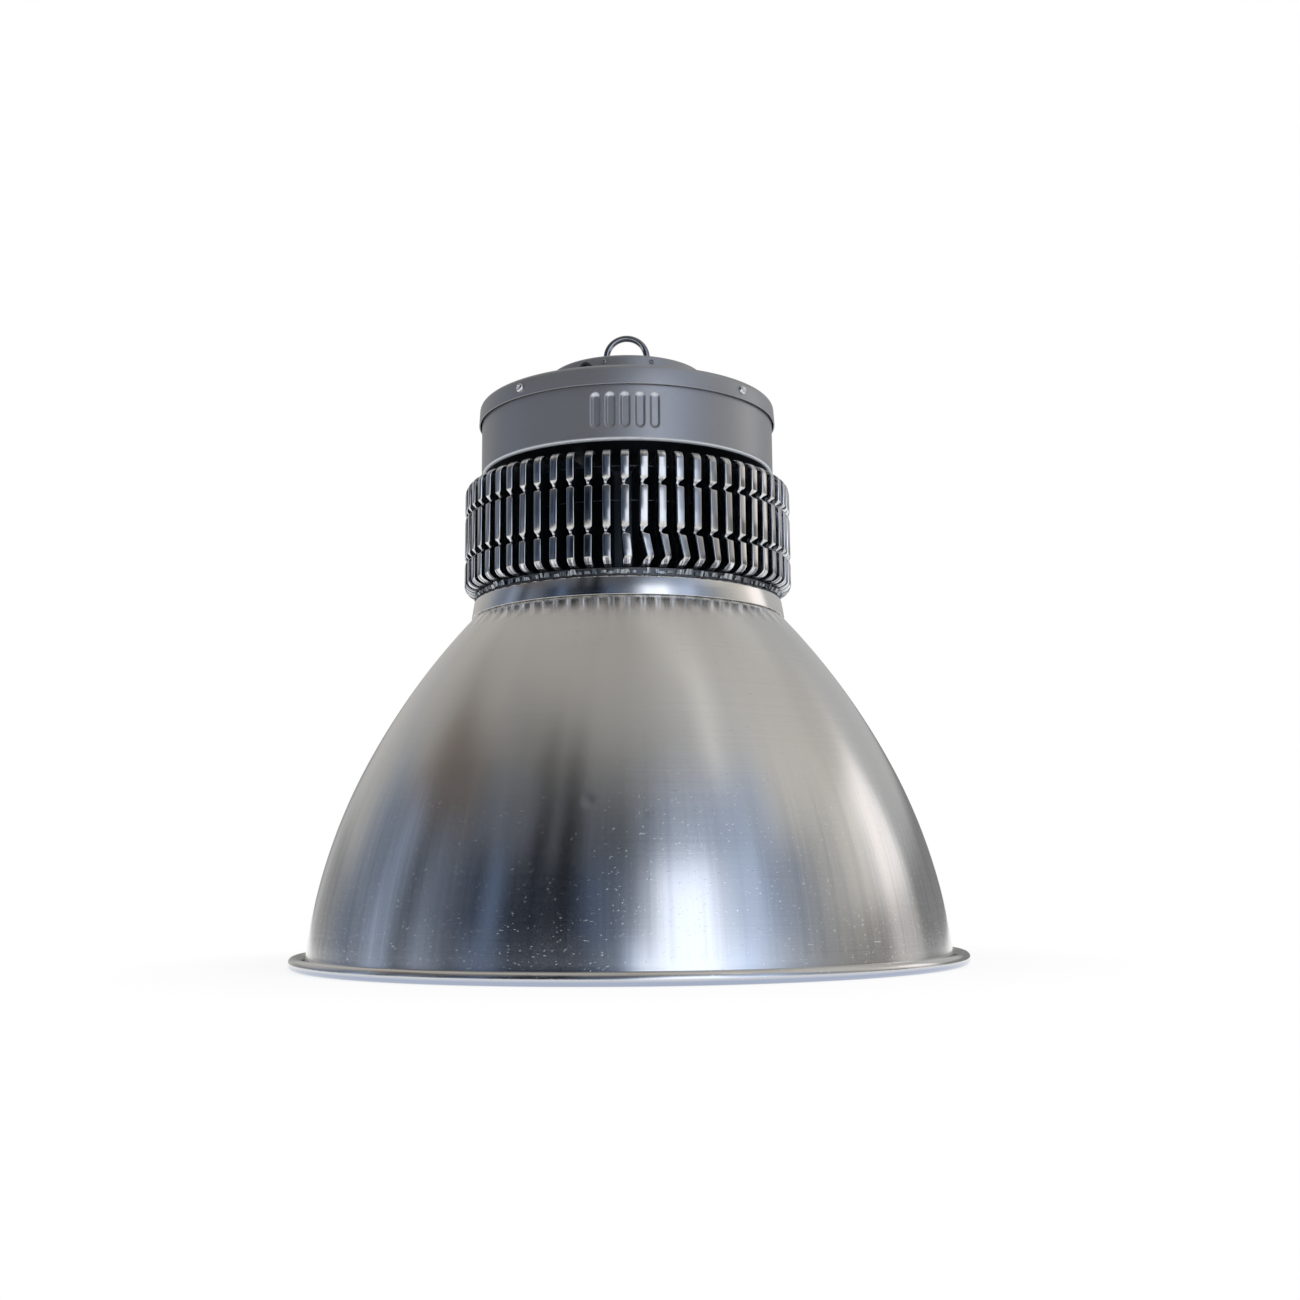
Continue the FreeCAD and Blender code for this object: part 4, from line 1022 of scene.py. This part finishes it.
STUDIO_BANDS = [
    # elevations between which a band takes over, then its tint changes and its levels,
    # each as azimuth from the front and value
    ((-90, -89),
     ((-136, "plain"), (-114, "blue"), (-66, "blue"), (-52, "navy"), (-12, "navy"),
      (0, "blue"), (6, "cool"), (28, "cool"), (40, "blue"), (58, "cool"), (76, "plain"),
      (90, "warm"), (108, "pink"), (124, "plain")),
     ((-166, 0.24), (-157, 0.36), (-151, 0.48), (-141, 0.30), (-127, 0.24), (-112, 0.19),
      (-104, 0.22), (-97, 0.38), (-90, 0.30), (-84, 0.10), (-75, 0.27), (-69, 0.22),
      (-62, 0.09), (-54, 0.15), (-46, 0.12), (-39, 0.05), (-14, 0.045), (-8, 0.14),
      (-3, 0.24), (0, 0.60), (5, 1.50), (28, 1.50), (37, 1.20), (47, 0.75), (56, 0.46),
      (68, 0.30), (84, 0.20), (96, 0.20), (106, 0.50), (116, 0.50), (124, 0.22))),
    ((9, 15),
     ((-180, "warm"), (-126, "plain"), (-106, "blue"), (-66, "blue"), (-52, "navy"),
      (-12, "navy"), (0, "blue"), (8, "cool"), (30, "cool"), (42, "blue"), (56, "blue"),
      (74, "plain"), (90, "warm"), (112, "pink"), (124, "plain")),
     ((-157, 0.50), (-147, 0.50), (-124, 0.38), (-110, 0.23), (-102, 0.20), (-95, 0.32),
      (-89, 0.22), (-83, 0.08), (-75, 0.18), (-69, 0.14), (-62, 0.08), (-55, 0.05),
      (-48, 0.15), (-42, 0.03), (-34, 0.02), (-21, 0.013), (-12, 0.11), (-4, 0.13),
      (3, 0.22), (8, 0.60), (14, 1.30), (27, 1.50), (32, 0.90), (38, 0.64), (47, 0.60),
      (54, 0.34), (67, 0.32), (84, 0.50), (97, 0.72), (107, 1.15), (118, 1.15),
      (124, 0.50))),
    ((27, 33),
     ((-114, "warm"), (-100, "brown"), (-76, "brown"), (-62, "cool"), (0, "cool"),
      (10, "blue"), (46, "blue"), (58, "cool"), (72, "warm"), (120, "warm"), (140, "plain")),
     ((-180, 0.42), (-150, 0.46), (-135, 0.48), (-124, 0.42), (-112, 0.34), (-104, 0.22),
      (-98, 0.16), (-92, 0.13), (-84, 0.11), (-78, 0.11), (-56, 0.14), (-49, 0.12),
      (-41, 0.12), (-35, 0.02), (-30, 0.10), (-24, 0.015), (-16, 0.10), (-7, 0.09), (-1, 0.09),
      (5, 0.14), (12, 0.20), (20, 0.30), (37, 0.37), (50, 0.44), (64, 0.52), (76, 0.60),
      (88, 0.58), (97, 0.58), (106, 0.50), (119, 0.48), (131, 0.50), (143, 0.46))),
    ((43, 51),
     ((-56, "warm"), (-20, "plain"), (28, "plain"), (44, "warm"), (110, "warm"),
      (150, "plain")),
     ((-180, 0.42), (-119, 0.43), (-98, 0.42), (-76, 0.30), (-61, 0.20), (-50, 0.18),
      (-43, 0.05), (-36, 0.17), (-28, 0.05), (-20, 0.19), (-2, 0.21), (14, 0.26), (30, 0.37),
      (39, 0.43), (43, 0.66), (49, 0.76), (53, 0.52), (75, 0.56), (103, 0.52), (115, 0.55),
      (123, 0.62), (132, 0.50), (150, 0.45))),
    ((54, 64),
     ((-180, "warm"), (180, "warm")),
     ((-180, 0.43), (-90, 0.43), (-40, 0.41), (0, 0.40), (20, 0.42), (40, 0.46), (51, 0.50),
      (56, 0.78), (65, 0.72), (70, 0.53), (100, 0.50), (140, 0.43))),
]


def studio_walls():
    """Soft panels, a window and dark flags all round, which only the metal reflects."""
    g = Graph("studio_panels")
    unit = g.node("ShaderNodeVectorMath", operation="NORMALIZE")
    g.feed(unit.inputs[0], g.place)
    x, y, z = g.axes(unit.outputs[0])
    along = g.span(g.math("ARCTAN2", x, g.times(y, -1.0)), -math.pi, math.pi, 0.0, 1.0)
    elevation = g.math("ARCSINE", z)
    colour = (0.0, 0.0, 0.0)
    for (low, high), tints, levels in STUDIO_BANDS:
        levels = [((azimuth + 180) / 360, (level,) * 3) for azimuth, level in levels]
        tints = [((azimuth + 180) / 360, TINTS[tint]) for azimuth, tint in tints]
        band_colour = g.blend(1.0, g.ramp(along, levels), g.ramp(along, tints), "MULTIPLY")
        share = g.span(elevation, math.radians(low), math.radians(high), 0.0, 1.0, smooth=True)
        colour = g.blend(share, colour, band_colour)
    glow = g.node("ShaderNodeEmission")
    g.feed(glow.inputs["Color"], colour)
    g.tree.links.new(glow.outputs[0], g.output.inputs["Surface"])
    g.material.cycles.emission_sampling = "NONE"
    mesh = bpy.data.meshes.new("studio_walls")
    ball = bmesh.new()
    bmesh.ops.create_uvsphere(ball, u_segments=64, v_segments=32, radius=WALL_RADIUS)
    ball.to_mesh(mesh)
    ball.free()
    mesh.materials.append(g.material)
    walls = bpy.data.objects.new("studio_walls", mesh)
    bpy.context.scene.collection.objects.link(walls)
    for rays in ("camera", "diffuse", "shadow", "transmission", "volume_scatter"):
        setattr(walls, "visible_" + rays, False)


def seen_rays(g):
    """1 for camera, glossy and transmission rays."""
    rays = g.node("ShaderNodeLightPath")
    seen = g.math("MAXIMUM", rays.outputs["Is Camera Ray"], rays.outputs["Is Glossy Ray"])
    return g.math("MAXIMUM", seen, rays.outputs["Is Transmission Ray"])


def studio_floor():
    """Pale floor that keeps a soft shadow and fades into the white behind it."""
    g = Graph("floor")
    tone = g.noise(g.stretched(2, 2, 2), detail=2.0)
    g.set(Base_Color=g.blend(tone, (0.90, 0.90, 0.90), (0.92, 0.92, 0.92)), Roughness=0.9)
    g.bsdf.inputs["Specular IOR Level"].default_value = 0.0
    glow = g.node("ShaderNodeEmission")
    glow.inputs["Color"].default_value = (1.0, 1.0, 1.0, 1.0)
    mix = g.node("ShaderNodeMixShader")
    share = g.span(g.radius(), 0.25, 0.40, 0.84, 1.0, smooth=True)
    g.feed(mix.inputs[0], g.times(seen_rays(g), share))
    g.tree.links.new(g.bsdf.outputs[0], mix.inputs[1])
    g.tree.links.new(glow.outputs[0], mix.inputs[2])
    g.tree.links.new(mix.outputs[0], g.output.inputs["Surface"])
    edge = [at(2 * math.pi * i / 96, FLOOR_RADIUS, 0, 0) for i in range(96)]
    floor = mesh_object("floor", edge, [tuple(range(96))], g.material)
    floor.location.z = DOME_LOW[2] - FLOOR_DROP


def studio_world():
    """White where it is seen, softer as light, and left out of the gloss."""
    world = bpy.data.worlds.new("studio")
    bpy.context.scene.world = world
    world.use_nodes = True
    tree = world.node_tree
    background = tree.nodes["Background"]
    rays = tree.nodes.new("ShaderNodeLightPath")
    seen = tree.nodes.new("ShaderNodeMath")
    seen.operation = "MAXIMUM"
    tree.links.new(rays.outputs["Is Camera Ray"], seen.inputs[0])
    tree.links.new(rays.outputs["Is Transmission Ray"], seen.inputs[1])
    level = tree.nodes.new("ShaderNodeMapRange")
    level.inputs["To Min"].default_value = 0.62
    level.inputs["To Max"].default_value = 1.0
    tree.links.new(seen.outputs[0], level.inputs["Value"])
    tree.links.new(level.outputs[0], background.inputs["Strength"])
    background.inputs["Color"].default_value = (1.0, 1.0, 1.0, 1.0)
    world.cycles_visibility.glossy = False


def studio_lamp(name, azimuth, elevation, distance, size, power):
    """Soft square lamp aimed at the middle of the object, with no gloss of its own."""
    middle = Vector((0, 0, (cad_low[2] + cad_high[2]) / 2))
    turn, lift = math.radians(azimuth), math.radians(elevation)
    away = Vector((math.sin(turn) * math.cos(lift), -math.cos(turn) * math.cos(lift),
                   math.sin(lift)))
    data = bpy.data.lights.new(name, "AREA")
    data.size = size
    data.energy = power
    lamp = bpy.data.objects.new(name, data)
    bpy.context.scene.collection.objects.link(lamp)
    lamp.location = middle + away * distance
    lamp.rotation_euler = away.to_track_quat("Z", "Y").to_euler()
    lamp.visible_glossy = False
    lamp.visible_camera = False


def studio_camera():
    """Camera just over the rim's plane, looking up at the housing."""
    distance, height, aside = 1.1029, 0.0629, 0.0147
    pitch, roll = 8.46, 0.45
    data = bpy.data.cameras.new("camera")
    data.sensor_width = 36.0
    data.lens = 41.68
    data.clip_start = 0.05
    camera = bpy.data.objects.new("camera", data)
    bpy.context.scene.collection.objects.link(camera)
    camera.location = (aside, -distance, height + DOME_LOW[2])
    camera.rotation_mode = "XYZ"
    camera.rotation_euler = (math.radians(90 + pitch), math.radians(roll), 0.0)
    bpy.context.scene.camera = camera


# ---- everything ----
finish_cad_nodes()
studio_camera()
make_reflector()
make_collar()
make_heat_sink()
make_housing()
make_cover()
make_cover_screws()
make_boss_rivets()
make_eye()
studio_walls()
studio_floor()
studio_world()
studio_lamp("key", azimuth=38, elevation=38, distance=2.2, size=1.6, power=26)
studio_lamp("fill", azimuth=-60, elevation=30, distance=2.4, size=1.6, power=8)
bpy.context.scene.view_settings.view_transform = "Standard"
